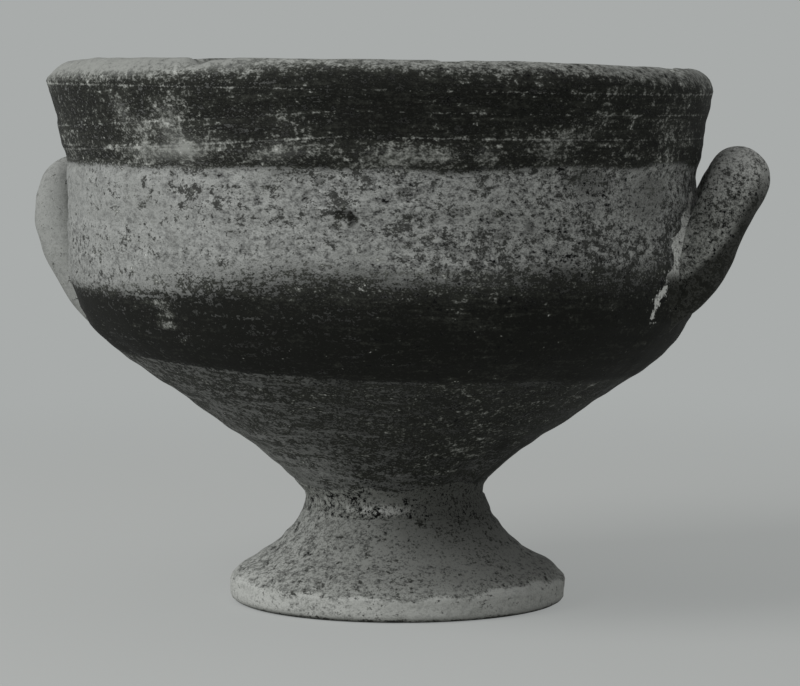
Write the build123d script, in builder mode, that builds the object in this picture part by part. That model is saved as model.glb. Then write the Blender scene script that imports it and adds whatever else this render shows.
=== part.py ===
from build123d import *

import os
from dataclasses import dataclass
from math import atan, cos, radians, sin, sqrt, tan

# Stemmed drinking cup of fired clay, in millimetres.
# The cup rests on z = 0, and the origin lies under the middle of its whole width.
# The two handles lie near the X axis, and the painter's side of the cup faces -Y.

# Foot: a thrown flaring foot, hollow below, whose middle stands a little to +X of the origin
foot_middle = 1.5
foot_radius = 35.7
foot_edge_height = 4.7
foot_edge_rounding = 1.9
foot_shoulder_run = 4.4
foot_shoulder_rise = 3.8
foot_shoulder_bow = 0.4
foot_height = 22.5
foot_flare_hollow = 1.8
resting_ring_width = 6.2
hollow_depth = 15.5
hollow_crown_width = 9.0
foot_lean = 0.3
stem_ledge = 1.1

# Bowl, from its flat base up: each stretch has its own rise and its own spread outwards
bowl_base_radius = 17.2
throat_rise = 11.5
throat_spread = 13.0
throat_hollow = 0.5
underbelly_rise = 18.7
underbelly_spread = 26.9
belly_rise = 10.3
belly_spread = 7.9
shoulder_rise = 10.0
shoulder_spread = 1.6
wall_rise = 20.5
lip_step_rise = 2.0
lip_step = 0.9
lip_rise = 13.6
lip_flare = 2.6
lip_hollow = 0.2
crest_rise = 5.6
crest_run = 4.1

# Bowl, inside
wall_thickness = 4.8
underbelly_thickness = 5.4
lip_thickness = 6.4
crest_inner_drop = 3.2
floor_radius = 20.0

# The bowl stands a little askew on its foot
bowl_shift = 2.0
bowl_lean = 2.0
bowl_tilt_angle = 1.24

# Right handle. Its root is where the middle of the bar leaves the wall.
right_azimuth = 1.8
right_bar_radius = 5.8
right_loop_radius = 21.7
right_loop_angle = 63.3
right_leg = 0.2
right_root_rise = 5.9
right_root_angle = 45.0
right_elbow_radius = 14.5

# Left handle: a little slimmer and lower, and set further round the back
left_azimuth = 161.6
left_bar_radius = 4.7
left_loop_radius = 18.9
left_loop_angle = 62.4
left_leg = 3.0
left_root_rise = 4.6
left_root_angle = 61.0
left_elbow_radius = 20.0

# Each bar runs on into the wall, which cuts it off along its own surface
root_run = 3.0

# Luting clay
luting_radius = 11.0
luting_sink = 7.4
luting_drop = 2.0
ring_height = 7.0
ring_bulge = 1.0
joint_overrun = 2.0

os.makedirs("parts", exist_ok=True)

# Heights up the bowl
throat_height = foot_height + throat_rise
belly_base_height = throat_height + underbelly_rise
shoulder_height = belly_base_height + belly_rise
wall_height = shoulder_height + shoulder_rise
lip_step_height = wall_height + wall_rise
lip_base_height = lip_step_height + lip_step_rise
lip_edge_height = lip_base_height + lip_rise
rim_height = lip_edge_height + crest_rise

# The foot's top stands out a little past the bowl's base that it carries
stem_top_radius = bowl_base_radius + stem_ledge

# Radii up the bowl
throat_radius = bowl_base_radius + throat_spread
belly_base_radius = throat_radius + underbelly_spread
shoulder_radius = belly_base_radius + belly_spread
wall_radius = shoulder_radius + shoulder_spread
lip_base_radius = wall_radius + lip_step
rim_radius = lip_base_radius + lip_flare
crest_radius = rim_radius - crest_run

# The straight underbelly: its slope, its direction and its normal towards the inside
underbelly_slope = atan(underbelly_rise / underbelly_spread)
underbelly_line = Vector(cos(underbelly_slope), sin(underbelly_slope))
underbelly_inward = Vector(-underbelly_line.Y, underbelly_line.X)


def draw_outside():
    """Draw the outside of the bowl, from the middle of its base to the top of its crest."""
    Line((0, foot_height), (bowl_base_radius, foot_height))
    throat_chord_middle = Vector(
        (bowl_base_radius + throat_radius) / 2, (foot_height + throat_height) / 2
    )
    ThreePointArc(
        (bowl_base_radius, foot_height),
        throat_chord_middle + underbelly_inward * throat_hollow,
        (throat_radius, throat_height),
    )
    Line((throat_radius, throat_height), (belly_base_radius, belly_base_height))
    belly = TangentArc(
        (belly_base_radius, belly_base_height),
        (shoulder_radius, shoulder_height),
        tangent=underbelly_line,
    )
    TangentArc(belly @ 1, (wall_radius, wall_height), tangent=belly % 1)
    Line((wall_radius, wall_height), (wall_radius, lip_step_height))
    Line((wall_radius, lip_step_height), (lip_base_radius, lip_base_height))
    lip_middle = (
        (lip_base_radius + rim_radius) / 2 - lip_hollow,
        (lip_base_height + lip_edge_height) / 2,
    )
    lip = ThreePointArc(
        (lip_base_radius, lip_base_height), lip_middle, (rim_radius, lip_edge_height)
    )
    TangentArc(lip @ 1, (crest_radius, rim_height), tangent=lip % 1)


# The bowl as a filled form, which cuts the handles and the luting off at its surface
with BuildPart() as envelope:
    with BuildSketch(Plane.XZ):
        with BuildLine():
            draw_outside()
            Line((crest_radius, rim_height), (0, rim_height))
            Line((0, rim_height), (0, foot_height))
        make_face()
    revolve(axis=Axis.Z)

# Inside of the bowl: the floor is a round that leaves the slope and ends level in the middle
inner_wall_radius = wall_radius - wall_thickness
inner_lip_radius = rim_radius - lip_thickness
inner_lip_height = rim_height - crest_inner_drop
inner_belly = Vector(belly_base_radius, belly_base_height) + underbelly_inward * underbelly_thickness
floor_edge_height = inner_belly.Y - (inner_belly.X - floor_radius) * tan(underbelly_slope)
floor_height = floor_edge_height - floor_radius * tan(underbelly_slope / 2)

with BuildPart() as upright_bowl:
    with BuildSketch(Plane.XZ):
        with BuildLine():
            draw_outside()
            crest = TangentArc(
                (crest_radius, rim_height), (inner_lip_radius, inner_lip_height), tangent=(-1, 0)
            )
            Line(crest @ 1, (inner_wall_radius, lip_base_height))
            Line((inner_wall_radius, lip_base_height), (inner_wall_radius, wall_height))
            TangentArc(inner_belly, (inner_wall_radius, wall_height), tangent=underbelly_line)
            Line(inner_belly, (floor_radius, floor_edge_height))
            TangentArc(
                (floor_radius, floor_edge_height), (0, floor_height), tangent=-underbelly_line
            )
            Line((0, floor_height), (0, foot_height))
        make_face()
    revolve(axis=Axis.Z)

# How the bowl stands on its foot: pushed to -X at the joint, leaning on to -X above it,
# and with everything level on the wheel now falling towards +X
lean_slope = bowl_lean / (rim_height - foot_height)
fall_slope = tan(radians(bowl_tilt_angle))
bowl_setting = Matrix(
    [
        [1, 0, -lean_slope, foot_middle - bowl_shift + foot_height * lean_slope],
        [0, 1, 0, 0],
        [-fall_slope, 0, 1, 0],
    ]
)

with BuildPart() as bowl:
    add(upright_bowl.part.transform_geometry(bowl_setting))
bowl.part.label = "bowl"
export_step(bowl.part, "parts/bowl.step")

# The joint of foot and bowl lies on the bowl's base, and falls towards +X with it
joint_plane = Plane(
    origin=(foot_middle - bowl_shift, 0, foot_height), z_dir=(fall_slope, 0, 1)
)

# Foot: thrown upright, leaning a little, and cut flat where it rests and where the bowl sits
with BuildPart() as upright_foot:
    with BuildSketch(Plane.XZ):
        with BuildLine():
            ring_outer = foot_radius - foot_edge_rounding
            hollow_radius = ring_outer - resting_ring_width
            Line((hollow_radius, -joint_overrun), (ring_outer, -joint_overrun))
            Line((ring_outer, -joint_overrun), (ring_outer, 0))
            rounding = TangentArc(
                (ring_outer, 0), (foot_radius, foot_edge_rounding), tangent=(1, 0)
            )
            edge = Line(rounding @ 1, (foot_radius, foot_edge_height))
            shoulder_chord = Vector(-foot_shoulder_run, foot_shoulder_rise)
            shoulder_outward = Vector(foot_shoulder_rise, foot_shoulder_run).normalized()
            shoulder_arc = ThreePointArc(
                edge @ 1,
                edge @ 1 + shoulder_chord / 2 + shoulder_outward * foot_shoulder_bow,
                edge @ 1 + shoulder_chord,
            )
            flare_chord = Vector(stem_top_radius, foot_height) - shoulder_arc @ 1
            flare_inward = Vector(-flare_chord.Y, flare_chord.X).normalized()
            ThreePointArc(
                shoulder_arc @ 1,
                shoulder_arc @ 1 + flare_chord / 2 + flare_inward * foot_flare_hollow,
                (stem_top_radius, foot_height),
            )
            Line((stem_top_radius, foot_height), (stem_top_radius, foot_height + joint_overrun))
            Line((stem_top_radius, foot_height + joint_overrun), (0, foot_height + joint_overrun))
            Line((0, foot_height + joint_overrun), (0, hollow_depth))
            crown = Line((0, hollow_depth), (hollow_crown_width / 2, hollow_depth))
            Line(crown @ 1, (hollow_radius, 0))
            Line((hollow_radius, 0), (hollow_radius, -joint_overrun))
        make_face()
    revolve(axis=Axis.Z)

foot_setting = Matrix(
    [[1, 0, -foot_lean / foot_height, foot_middle], [0, 1, 0, 0], [0, 0, 1, 0]]
)

with BuildPart() as foot:
    add(upright_foot.part.transform_geometry(foot_setting))
    split(bisect_by=Plane.XY, keep=Keep.TOP)
    split(bisect_by=joint_plane, keep=Keep.BOTTOM)
foot.part.label = "foot"
export_step(foot.part, "parts/foot.step")

# Roll of luting clay round the stem, halfway between the bowl's middle and the foot's
ring_axis = Axis((foot_middle - (bowl_shift + foot_lean) / 2, 0, 0), (0, 0, 1))
ring_inner_radius = stem_top_radius - ring_bulge
ring_bottom = (ring_inner_radius, foot_height - ring_height / 2)
ring_top = (ring_inner_radius, foot_height + ring_height / 2)

with BuildPart() as stem_luting_ring:
    with BuildSketch(Plane(ring_axis.position, x_dir=(1, 0, 0), z_dir=(0, -1, 0))):
        with BuildLine():
            ThreePointArc(ring_bottom, (stem_top_radius + ring_bulge, foot_height), ring_top)
            Line(ring_top, ring_bottom)
        make_face()
    revolve(axis=ring_axis)
    add(bowl.part, mode=Mode.SUBTRACT)
    add(foot.part, mode=Mode.SUBTRACT)
stem_luting_ring.part.label = "stem_luting_ring"
export_step(stem_luting_ring.part, "parts/stem_luting_ring.step")


@dataclass
class LoopHandle:
    """A bar of clay bent to a half circle, whose two legs bend in through elbows to the wall.

    It is drawn in the X direction, and turned to its azimuth when it is set on the bowl.
    """

    azimuth: float
    bar_radius: float
    loop_radius: float
    loop_angle: float
    leg: float
    root_rise: float
    root_angle: float
    elbow_radius: float

    def root(self, side):
        """Where the middle of the bar leaves the wall, on the side y > 0 or y < 0."""
        outwards = sqrt(wall_radius**2 - self.loop_radius**2)
        return Vector(outwards, side * self.loop_radius, shoulder_height + self.root_rise)

    def on_elbow(self, side, climb_angle):
        """The point of the elbow where the bar climbs at this angle."""
        root_angle = radians(self.root_angle)
        outwards = self.elbow_radius * (sin(climb_angle) - sin(root_angle))
        upwards = self.elbow_radius * (cos(root_angle) - cos(climb_angle))
        return self.root(side) + Vector(outwards, 0, upwards)

    def draw_path(self):
        """Draw the middle line of the bar, from root to root."""
        loop_angle = radians(self.loop_angle)
        climb = Vector(cos(loop_angle), 0, sin(loop_angle))
        shoulders = [self.on_elbow(side, loop_angle) + climb * self.leg for side in (1, -1)]
        crown = (shoulders[0] + shoulders[1]) / 2 + climb * self.loop_radius
        for side, shoulder in zip((1, -1), shoulders):
            inner_end = self.on_elbow(side, 0)
            Line(inner_end - Vector(root_run, 0, 0), inner_end)
            elbow = TangentArc(inner_end, self.on_elbow(side, loop_angle), tangent=(1, 0, 0))
            Line(elbow @ 1, shoulder)
        ThreePointArc(shoulders[0], crown, shoulders[1])

    def luting_middle(self, side):
        """The middle of the wad of luting at a root: below it, and sunk into the wall."""
        root = self.root(side)
        share_of_radius = 1 - luting_sink / wall_radius
        return Vector(root.X * share_of_radius, root.Y * share_of_radius, root.Z - luting_drop)

    def set_on_bowl(self, piece):
        """Turn an upright piece to the handle's azimuth and lean it with the bowl."""
        return piece.rotate(Axis.Z, self.azimuth).transform_geometry(bowl_setting)


handles = {
    "handle_right": LoopHandle(
        right_azimuth,
        right_bar_radius,
        right_loop_radius,
        right_loop_angle,
        right_leg,
        right_root_rise,
        right_root_angle,
        right_elbow_radius,
    ),
    "handle_left": LoopHandle(
        left_azimuth,
        left_bar_radius,
        left_loop_radius,
        left_loop_angle,
        left_leg,
        left_root_rise,
        left_root_angle,
        left_elbow_radius,
    ),
}

# The root that lies nearer the front, -Y, of each handle once it is turned to its azimuth
front_side = {"handle_right": -1, "handle_left": 1}

for name, loop in handles.items():
    with BuildPart() as upright_bar:
        with BuildLine():
            loop.draw_path()
        bar_end = loop.on_elbow(1, 0) - Vector(root_run, 0, 0)
        with BuildSketch(Plane(bar_end, z_dir=(1, 0, 0))):
            Circle(loop.bar_radius)
        sweep()
        add(envelope.part, mode=Mode.SUBTRACT)

    with BuildPart() as handle:
        add(loop.set_on_bowl(upright_bar.part))
    handle.part.label = name
    export_step(handle.part, f"parts/{name}.step")

    for place, side in (("front", front_side[name]), ("back", -front_side[name])):
        with BuildPart() as upright_wad:
            with Locations(loop.luting_middle(side)):
                Sphere(luting_radius)
            add(envelope.part, mode=Mode.SUBTRACT)
            add(upright_bar.part, mode=Mode.SUBTRACT)

        with BuildPart() as luting:
            add(loop.set_on_bowl(upright_wad.part))
        luting.part.label = f"{name}_{place}_luting"
        export_step(luting.part, f"parts/{name}_{place}_luting.step")
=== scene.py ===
import logging
from dataclasses import dataclass, field
from enum import Enum

import bpy
import numpy as np
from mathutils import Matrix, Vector

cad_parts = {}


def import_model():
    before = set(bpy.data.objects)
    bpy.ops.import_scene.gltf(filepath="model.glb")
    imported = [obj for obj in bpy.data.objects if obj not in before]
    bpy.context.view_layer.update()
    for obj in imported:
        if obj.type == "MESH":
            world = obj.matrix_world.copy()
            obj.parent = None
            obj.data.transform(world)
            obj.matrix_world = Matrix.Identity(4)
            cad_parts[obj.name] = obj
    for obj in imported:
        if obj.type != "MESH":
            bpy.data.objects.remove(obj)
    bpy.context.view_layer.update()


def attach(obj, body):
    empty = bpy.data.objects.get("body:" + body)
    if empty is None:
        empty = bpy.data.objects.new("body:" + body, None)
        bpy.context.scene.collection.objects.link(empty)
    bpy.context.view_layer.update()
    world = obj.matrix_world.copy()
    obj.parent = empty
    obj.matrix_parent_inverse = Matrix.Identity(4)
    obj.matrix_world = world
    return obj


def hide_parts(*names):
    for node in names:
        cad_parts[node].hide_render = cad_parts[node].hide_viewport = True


# A stemmed drinking cup of fired clay: a thrown bowl on a thrown foot, with two loop handles.
# The sizes in the classes are in millimetres, and the meshes are in metres.
# Bearings are in degrees round the cup from its front, -Y, towards +X.

log = logging.getLogger("cup")

MM = 0.001
FULL_TURN = 2 * np.pi
ALMOST_STRAIGHT = 1e-6
FAINT_GLEAM = 0.25
# Painted shade on the side away from the key lamp: 0 up to the first bearing, full between the middle
# two, 0 after the last
PAINTED_SHADE_SIDE = (-40, 40, 120, 170)
# The painted lines fan out by this share of their height over the widest part
LINE_FAN = 0.064
WIDEST_HEIGHT = 71.0


def linear(hex_colour: str) -> tuple[float, float, float, float]:
    """Turn an sRGB hex colour to linear.

    Args:
        hex_colour: Six hex digits after a hash, such as "#807F7A".

    Returns:
        Red, green, blue and an alpha of 1, as shader sockets take them.
    """
    values = [int(hex_colour[place:place + 2], 16) / 255 for place in (1, 3, 5)]
    red, green, blue = (v / 12.92 if v <= 0.04045 else ((v + 0.055) / 1.055) ** 2.4 for v in values)
    return red, green, blue, 1.0


def add_node(
    tree: bpy.types.NodeTree,
    kind: str,
    inputs: dict | None = None,
    output: int | str = 0,
    **settings: object,
) -> bpy.types.NodeSocket | bpy.types.Node:
    """Add a shader node, set its properties, and fill its sockets.

    Args:
        tree: The material's or world's node tree.
        kind: The node's type without its first words, such as "Math".
        inputs: Socket name or number to a value, or to another node's output, which is linked.
        output: Name or number of the output that is wanted.
        **settings: The node's own properties.

    Returns:
        The wanted output socket, or the node itself where it has none.
    """
    node = tree.nodes.new(f"ShaderNode{kind}")
    for name, value in settings.items():
        setattr(node, name, value)
    for name, value in (inputs or {}).items():
        if isinstance(value, bpy.types.NodeSocket):
            tree.links.new(value, node.inputs[name])
        else:
            node.inputs[name].default_value = value
    return node.outputs[output] if node.outputs else node


def new_material(name: str) -> tuple[bpy.types.Material, bpy.types.NodeTree]:
    """Add a material with an empty node tree. Returns both."""
    material = bpy.data.materials.new(name)
    material.use_nodes = True
    material.node_tree.nodes.clear()
    return material, material.node_tree


def with_noises(
    tree: bpy.types.NodeTree,
    start: bpy.types.NodeSocket | float,
    noises: dict[str, bpy.types.NodeSocket],
    weights: tuple[tuple[str, float], ...],
) -> bpy.types.NodeSocket | float:
    """Add to a value each noise's distance from its middle, one half, times its weight.

    Args:
        tree: The material's node tree.
        start: The value to begin with.
        noises: The material's noises by name.
        weights: Names of noises and their weights.

    Returns:
        The sum.
    """
    total = start
    for name, weight in weights:
        centred = {0: noises[name], 1: weight, 2: -weight / 2}
        centred = add_node(tree, "Math", centred, operation="MULTIPLY_ADD")
        total = add_node(tree, "Math", {0: centred, 1: total}, operation="ADD")
    return total


def graded(
    tree: bpy.types.NodeTree,
    colour: bpy.types.NodeSocket | tuple,
    grain: bpy.types.NodeSocket,
    strength: bpy.types.NodeSocket,
) -> bpy.types.NodeSocket:
    """Lighten and darken a colour, by multiplying it by 1 plus the grain times its strength.

    Args:
        tree: The material's node tree.
        colour: The colour.
        grain: Noise about 0.
        strength: How strongly the grain shows.

    Returns:
        The graded colour.
    """
    tone = add_node(tree, "Math", {0: grain, 1: strength, 2: 1.0}, operation="MULTIPLY_ADD")
    return add_node(tree, "VectorMath", {0: colour, "Scale": tone}, operation="SCALE")


@dataclass(frozen=True)
class Layer:
    """A colour that lies over another where its mark, broken up by noises, is strong enough.

    It begins to show where the sum of mark and noises passes the start, and shows the most that
    it ever does from the full level on.
    """

    weights: tuple[tuple[str, float], ...]
    start: float = 0.0
    full: float = 1.0
    most: float = 1.0

    def lay(
        self,
        tree: bpy.types.NodeTree,
        under: bpy.types.NodeSocket | tuple,
        over: bpy.types.NodeSocket | tuple,
        mark: bpy.types.NodeSocket,
        noises: dict[str, bpy.types.NodeSocket],
    ) -> tuple[bpy.types.NodeSocket, bpy.types.NodeSocket]:
        """Add the layer's nodes.

        Args:
            tree: The material's node tree.
            under: The colour under it.
            over: Its own colour.
            mark: Where it lies.
            noises: The material's noises by name.

        Returns:
            The mixed colour, and the layer's share of it.
        """
        amount = with_noises(tree, mark, noises, self.weights)
        ramp = {"Value": amount, "From Min": self.start, "From Max": self.full, "To Max": self.most}
        share = add_node(tree, "MapRange", ramp)
        blend = {"Factor": share, 6: under, 7: over}
        return add_node(tree, "Mix", blend, output=2, data_type="RGBA"), share


def finish_clay(
    tree: bpy.types.NodeTree,
    colour: bpy.types.NodeSocket,
    relief: bpy.types.NodeSocket,
    depth: float,
    roughness: float,
) -> None:
    """End a clay's node tree: bump from its relief, and a matt shader with a faint gleam.

    Args:
        tree: The material's node tree.
        colour: The surface's colour.
        relief: The fine relief, where 1 stands out by the depth.
        depth: That depth in millimetres.
        roughness: The shader's roughness.
    """
    bump = add_node(tree, "Bump", {"Height": relief, "Distance": depth * MM, "Strength": 1.0})
    settings = {"Base Color": colour, "Roughness": roughness, "Specular IOR Level": FAINT_GLEAM}
    shader = add_node(tree, "BsdfPrincipled", {**settings, "Normal": bump})
    add_node(tree, "OutputMaterial", {"Surface": shader})


def smooth_step(low: float, high: float, values: np.ndarray) -> np.ndarray:
    """Ease from 0 at low to 1 at high: 3 t squared less 2 t cubed, t being the share of the way."""
    share = np.clip((values - low) / (high - low), 0, 1)
    return share**2 * (3 - 2 * share)


def between(pair: tuple[float, float], share: np.ndarray) -> np.ndarray:
    """The value at a share of the way from a pair's first number to its second."""
    return pair[0] + (pair[1] - pair[0]) * share


def unit(vectors: np.ndarray) -> np.ndarray:
    """The vectors, each with a length of 1."""
    return vectors / np.linalg.norm(vectors, axis=-1, keepdims=True)


def off_axis(points: np.ndarray) -> np.ndarray:
    """How far points lie from the bowl's axis, measured level."""
    return np.hypot(points[..., 0], points[..., 1])


def moved_level(points: np.ndarray, wanted: np.ndarray) -> np.ndarray:
    """The points, each moved level until it lies as far from the axis as is wanted."""
    scale = (wanted / off_axis(points))[..., None]
    return np.concatenate([points[..., :2] * scale, points[..., 2:]], -1)


def curve(start: np.ndarray, middle: np.ndarray, end: np.ndarray, share: np.ndarray) -> np.ndarray:
    """Points at shares of the way along quadratic curves.

    A curve leaves its start towards the middle point and reaches its end coming from there.

    Args:
        start: First point of each curve.
        middle: The point that pulls it.
        end: Last point of each curve.
        share: Shares of the way, which broadcast with the points.

    Returns:
        Array of the points.
    """
    return (1 - share) ** 2 * start + 2 * share * (1 - share) * middle + share**2 * end


def sector(bearing: np.ndarray, edges: tuple[float, float, float, float]) -> np.ndarray:
    """Ease from 0 to 1 and back again round the cup.

    Args:
        bearing: Bearings in degrees.
        edges: Four rising bearings between -180 and 180: 0 up to the first, 1 from the second to
            the third, and 0 from the fourth on.

    Returns:
        Array like the bearings.
    """
    around = (bearing + 180) % 360 - 180
    first, full, still_full, last = edges
    return smooth_step(first, full, around) * smooth_step(last, still_full, around)


def all_round(columns: int) -> np.ndarray:
    """Evenly spaced bearings round the cup, as one row."""
    return np.linspace(0, 360, columns, endpoint=False)[None, :]


def round_axis(turn: np.ndarray, radius: np.ndarray, height: np.ndarray) -> np.ndarray:
    """Points round the axis: x is the radius times the turn's sine, y minus it times its cosine."""
    x, y = radius * np.sin(turn), -radius * np.cos(turn)
    return np.stack(np.broadcast_arrays(x, y, height), -1)


def straight(start: tuple, end: tuple, count: int = 24) -> np.ndarray:
    """Points along a straight stretch of an outline, evenly spaced, both ends included."""
    return np.linspace(start, end, count)


def arc(start: tuple, direction: tuple, end: tuple, count: int = 48) -> np.ndarray:
    """Points along the circular arc that leaves start in a direction and ends at end.

    The arc turns by twice the angle from its first direction to its chord. Each point is the
    chord's start plus a chord whose length is the sine of its half turn, in scale.

    Args:
        start: First point, (radius, height).
        direction: The way the arc leaves start.
        end: Last point.
        count: Number of points.

    Returns:
        Array of count points.
    """
    start, end, direction = (np.asarray(v, float) for v in (start, end, direction))
    chord = end - start
    across = direction[0] * chord[1] - direction[1] * chord[0]
    half_turn = np.arctan2(across, direction @ chord)
    if abs(half_turn) < ALMOST_STRAIGHT:
        return straight(start, end, count)
    half_turns = np.linspace(0, half_turn, count)
    lengths = np.hypot(*chord) * np.sin(half_turns) / np.sin(half_turn)
    headings = np.arctan2(direction[1], direction[0]) + half_turns
    return start + lengths[:, None] * np.stack([np.cos(headings), np.sin(headings)], -1)


def bowed(start: tuple, end: tuple, bow: float) -> np.ndarray:
    """Points along an arc whose middle stands off its chord, to the left where bow is positive."""
    chord = np.subtract(end, start)
    half_turn = 2 * np.arctan(2 * bow / np.hypot(*chord))
    heading = np.arctan2(chord[1], chord[0]) + half_turn
    return arc(start, (np.cos(heading), np.sin(heading)), end)


def last_direction(points: np.ndarray) -> np.ndarray:
    """The way an arc arrives: its last short chord, mirrored onto its end by one more half step."""
    last, before = points[-1] - points[-2], points[-2] - points[-3]
    return unit(1.5 * last - 0.5 * before)


def joined(stretches: list[np.ndarray]) -> np.ndarray:
    """One outline from stretches that each begin where the last one ended."""
    return np.concatenate([stretches[0], *(stretch[1:] for stretch in stretches[1:])])


def walk(line: np.ndarray, spacing: float) -> np.ndarray:
    """Points along a line of points in even steps no longer than the spacing, ends included."""
    lengths = np.r_[0, np.cumsum(np.linalg.norm(np.diff(line, axis=0), axis=1))]
    places = np.linspace(0, lengths[-1], int(np.ceil(lengths[-1] / spacing)) + 1)
    return np.stack([np.interp(places, lengths, values) for values in line.T], -1)


def normals(outline: np.ndarray) -> np.ndarray:
    """Unit normals of an outline, to its right as it runs."""
    along = np.gradient(outline, axis=0)
    return np.stack([along[:, 1], -along[:, 0]], -1) / np.hypot(*along.T)[:, None]


def unevenness(
    turn: np.ndarray, rise: np.ndarray, grain: float, radius: float, seed: int
) -> np.ndarray:
    """Soft unevenness over a round surface, closed all the way round.

    The sum of 40 waves. Each has a whole number of crests round the turn and any number up the
    rise, drawn so that a crest is about one grain wide, and a phase of its own.

    Args:
        turn: Angle round the surface, in radians.
        rise: Length up the surface, in millimetres.
        grain: Usual width of a bump, in millimetres.
        radius: Radius that turns the angle into a length, in millimetres.
        seed: Seed of the draw.

    Returns:
        Array like turn and rise together, mostly between -1 and 1.
    """
    draw = np.random.default_rng(seed)
    waves = 40
    around = np.rint(draw.normal(0, radius / grain * 2, waves))
    upward = draw.normal(0, 2 / grain, waves)
    phases = draw.uniform(0, FULL_TURN, waves)
    total = sum(np.sin(m * turn + q * rise + p) for m, q, p in zip(around, upward, phases))
    return total / np.sqrt(waves)


def lumpiness(
    turn: np.ndarray, rise: np.ndarray, radius: float, *kinds: tuple[float, float, int]
) -> np.ndarray:
    """The sum of kinds of unevenness. Each has a grain and a height in millimetres, and a seed."""
    return sum(tall * unevenness(turn, rise, grain, radius, seed) for grain, tall, seed in kinds)


def spiral_rings(
    turn: np.ndarray, level: np.ndarray, rings: tuple[tuple[float, float, int], ...]
) -> np.ndarray:
    """Waves up the level that turn with the bearing, as the potter's fingers leave them.

    Each is its height times the sine of its crests up the level plus its whole turns.

    Args:
        turn: Angle round the surface, in radians.
        level: Height along the rings.
        rings: The pitch, the height and the whole turns of each set.

    Returns:
        The waves added up, in millimetres.
    """
    return sum(
        tall * np.sin(FULL_TURN * level / pitch + turns * turn) for pitch, tall, turns in rings
    )


def grid_quads(rows: int, columns: int, closed_rows: bool = False) -> np.ndarray:
    """Quads of a grid of vertices that closes round its columns.

    Vertex (i, j) is number i * columns + j. A quad runs round the columns first, so it faces
    outwards where round crossed with along points out of the clay.

    Args:
        rows: Rows of vertices.
        columns: Vertices in a row.
        closed_rows: Whether the last row joins the first, as on a ring.

    Returns:
        Array of four vertex numbers a quad.
    """
    i, j = np.meshgrid(np.arange(rows if closed_rows else rows - 1), np.arange(columns), indexing="ij")
    next_i, next_j = (i + 1) % rows, (j + 1) % columns
    corners = [i * columns + j, i * columns + next_j, next_i * columns + next_j, next_i * columns + j]
    return np.stack(corners, -1).reshape(-1, 4)


def fan(ring_start: int, columns: int, pole: int, outwards: bool) -> np.ndarray:
    """Triangles that close a ring of vertices with a pole, in the given order round it."""
    ring = ring_start + np.arange(columns)
    sides = (ring, np.roll(ring, -1)) if outwards else (np.roll(ring, -1), ring)
    return np.stack([*sides, np.full(columns, pole)], -1)


def make_piece(
    name: str,
    points: np.ndarray,
    quads: np.ndarray,
    triangles: np.ndarray | None,
    marks: dict[str, np.ndarray],
) -> bpy.types.Object:
    """Make a smooth-shaded mesh object with its marks as attributes.

    Args:
        name: The piece's name.
        points: Vertices in millimetres, in the cup's frame.
        quads: Four vertex numbers a quad.
        triangles: Three vertex numbers a triangle, or None.
        marks: Attribute name to one number, or one triple, for each vertex.

    Returns:
        The object, linked to the scene.
    """
    triangles = np.zeros((0, 3), int) if triangles is None else triangles
    mesh = bpy.data.meshes.new(name)
    mesh.vertices.add(len(points))
    mesh.vertices.foreach_set("co", (points * MM).astype(np.float32).ravel())
    corners = np.r_[quads.ravel(), triangles.ravel()]
    mesh.loops.add(len(corners))
    mesh.loops.foreach_set("vertex_index", corners.astype(np.int32))
    starts = np.r_[np.arange(len(quads)) * 4, quads.size + np.arange(len(triangles)) * 3]
    mesh.polygons.add(len(starts))
    mesh.polygons.foreach_set("loop_start", starts.astype(np.int32))
    mesh.polygons.foreach_set("use_smooth", np.ones(len(starts), bool))
    for mark, values in marks.items():
        kind, slot = ("FLOAT_VECTOR", "vector") if values.ndim == 2 else ("FLOAT", "value")
        attribute = mesh.attributes.new(mark, kind, "POINT")
        attribute.data.foreach_set(slot, values.astype(np.float32).ravel())
    mesh.update(calc_edges=True)
    piece = bpy.data.objects.new(name, mesh)
    bpy.context.scene.collection.objects.link(piece)
    return piece


def dress(piece: bpy.types.Object, material: bpy.types.Material, slot: str, *nodes: str) -> None:
    """Give a piece its material and its body, and hide the CAD nodes that it stands for.

    Args:
        piece: The finished piece.
        material: Its material.
        slot: Not used.
        *nodes: The CAD nodes that it stands for.
    """
    piece.data.materials.append(material)
    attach(piece, "root")
    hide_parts(*nodes)
    log.info("%s: %d faces, stands for %s", piece.name, len(piece.data.polygons), ", ".join(nodes))


@dataclass(frozen=True)
class Patch:
    """A place on the clay where a mark or a chip is strongest, fading all round."""

    bearing: float
    height: float
    half_width: float
    half_height: float
    strength: float

    def spread(
        self, bearing: np.ndarray, height: np.ndarray, radius: float, crispness: int = 1
    ) -> np.ndarray:
        """Strength times a bell curve in the length round the wall and in the height.

        The bell is e to the minus of the squared distance, in half widths and half heights,
        raised to the crispness: 1 is a soft bell, and 3 has a flat top and a crisp edge.
        """
        gap = (bearing - self.bearing + 180) % 360 - 180
        around = np.radians(gap) * radius / self.half_width
        upward = (height - self.height) / self.half_height
        return self.strength * np.exp(-((around**2 + upward**2) ** crispness))


def gathered(
    patches: tuple[Patch, ...],
    bearing: np.ndarray,
    height: np.ndarray,
    radius: float,
    crispness: int = 1,
) -> np.ndarray:
    """The bell curves of patches added up, at places on a wall of the given radius."""
    return sum(patch.spread(bearing, height, radius, crispness) for patch in patches)


class Side(Enum):
    """The two roots of a handle, by the side of the cup that they lie nearer to."""

    FRONT = -1
    BACK = 1


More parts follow.
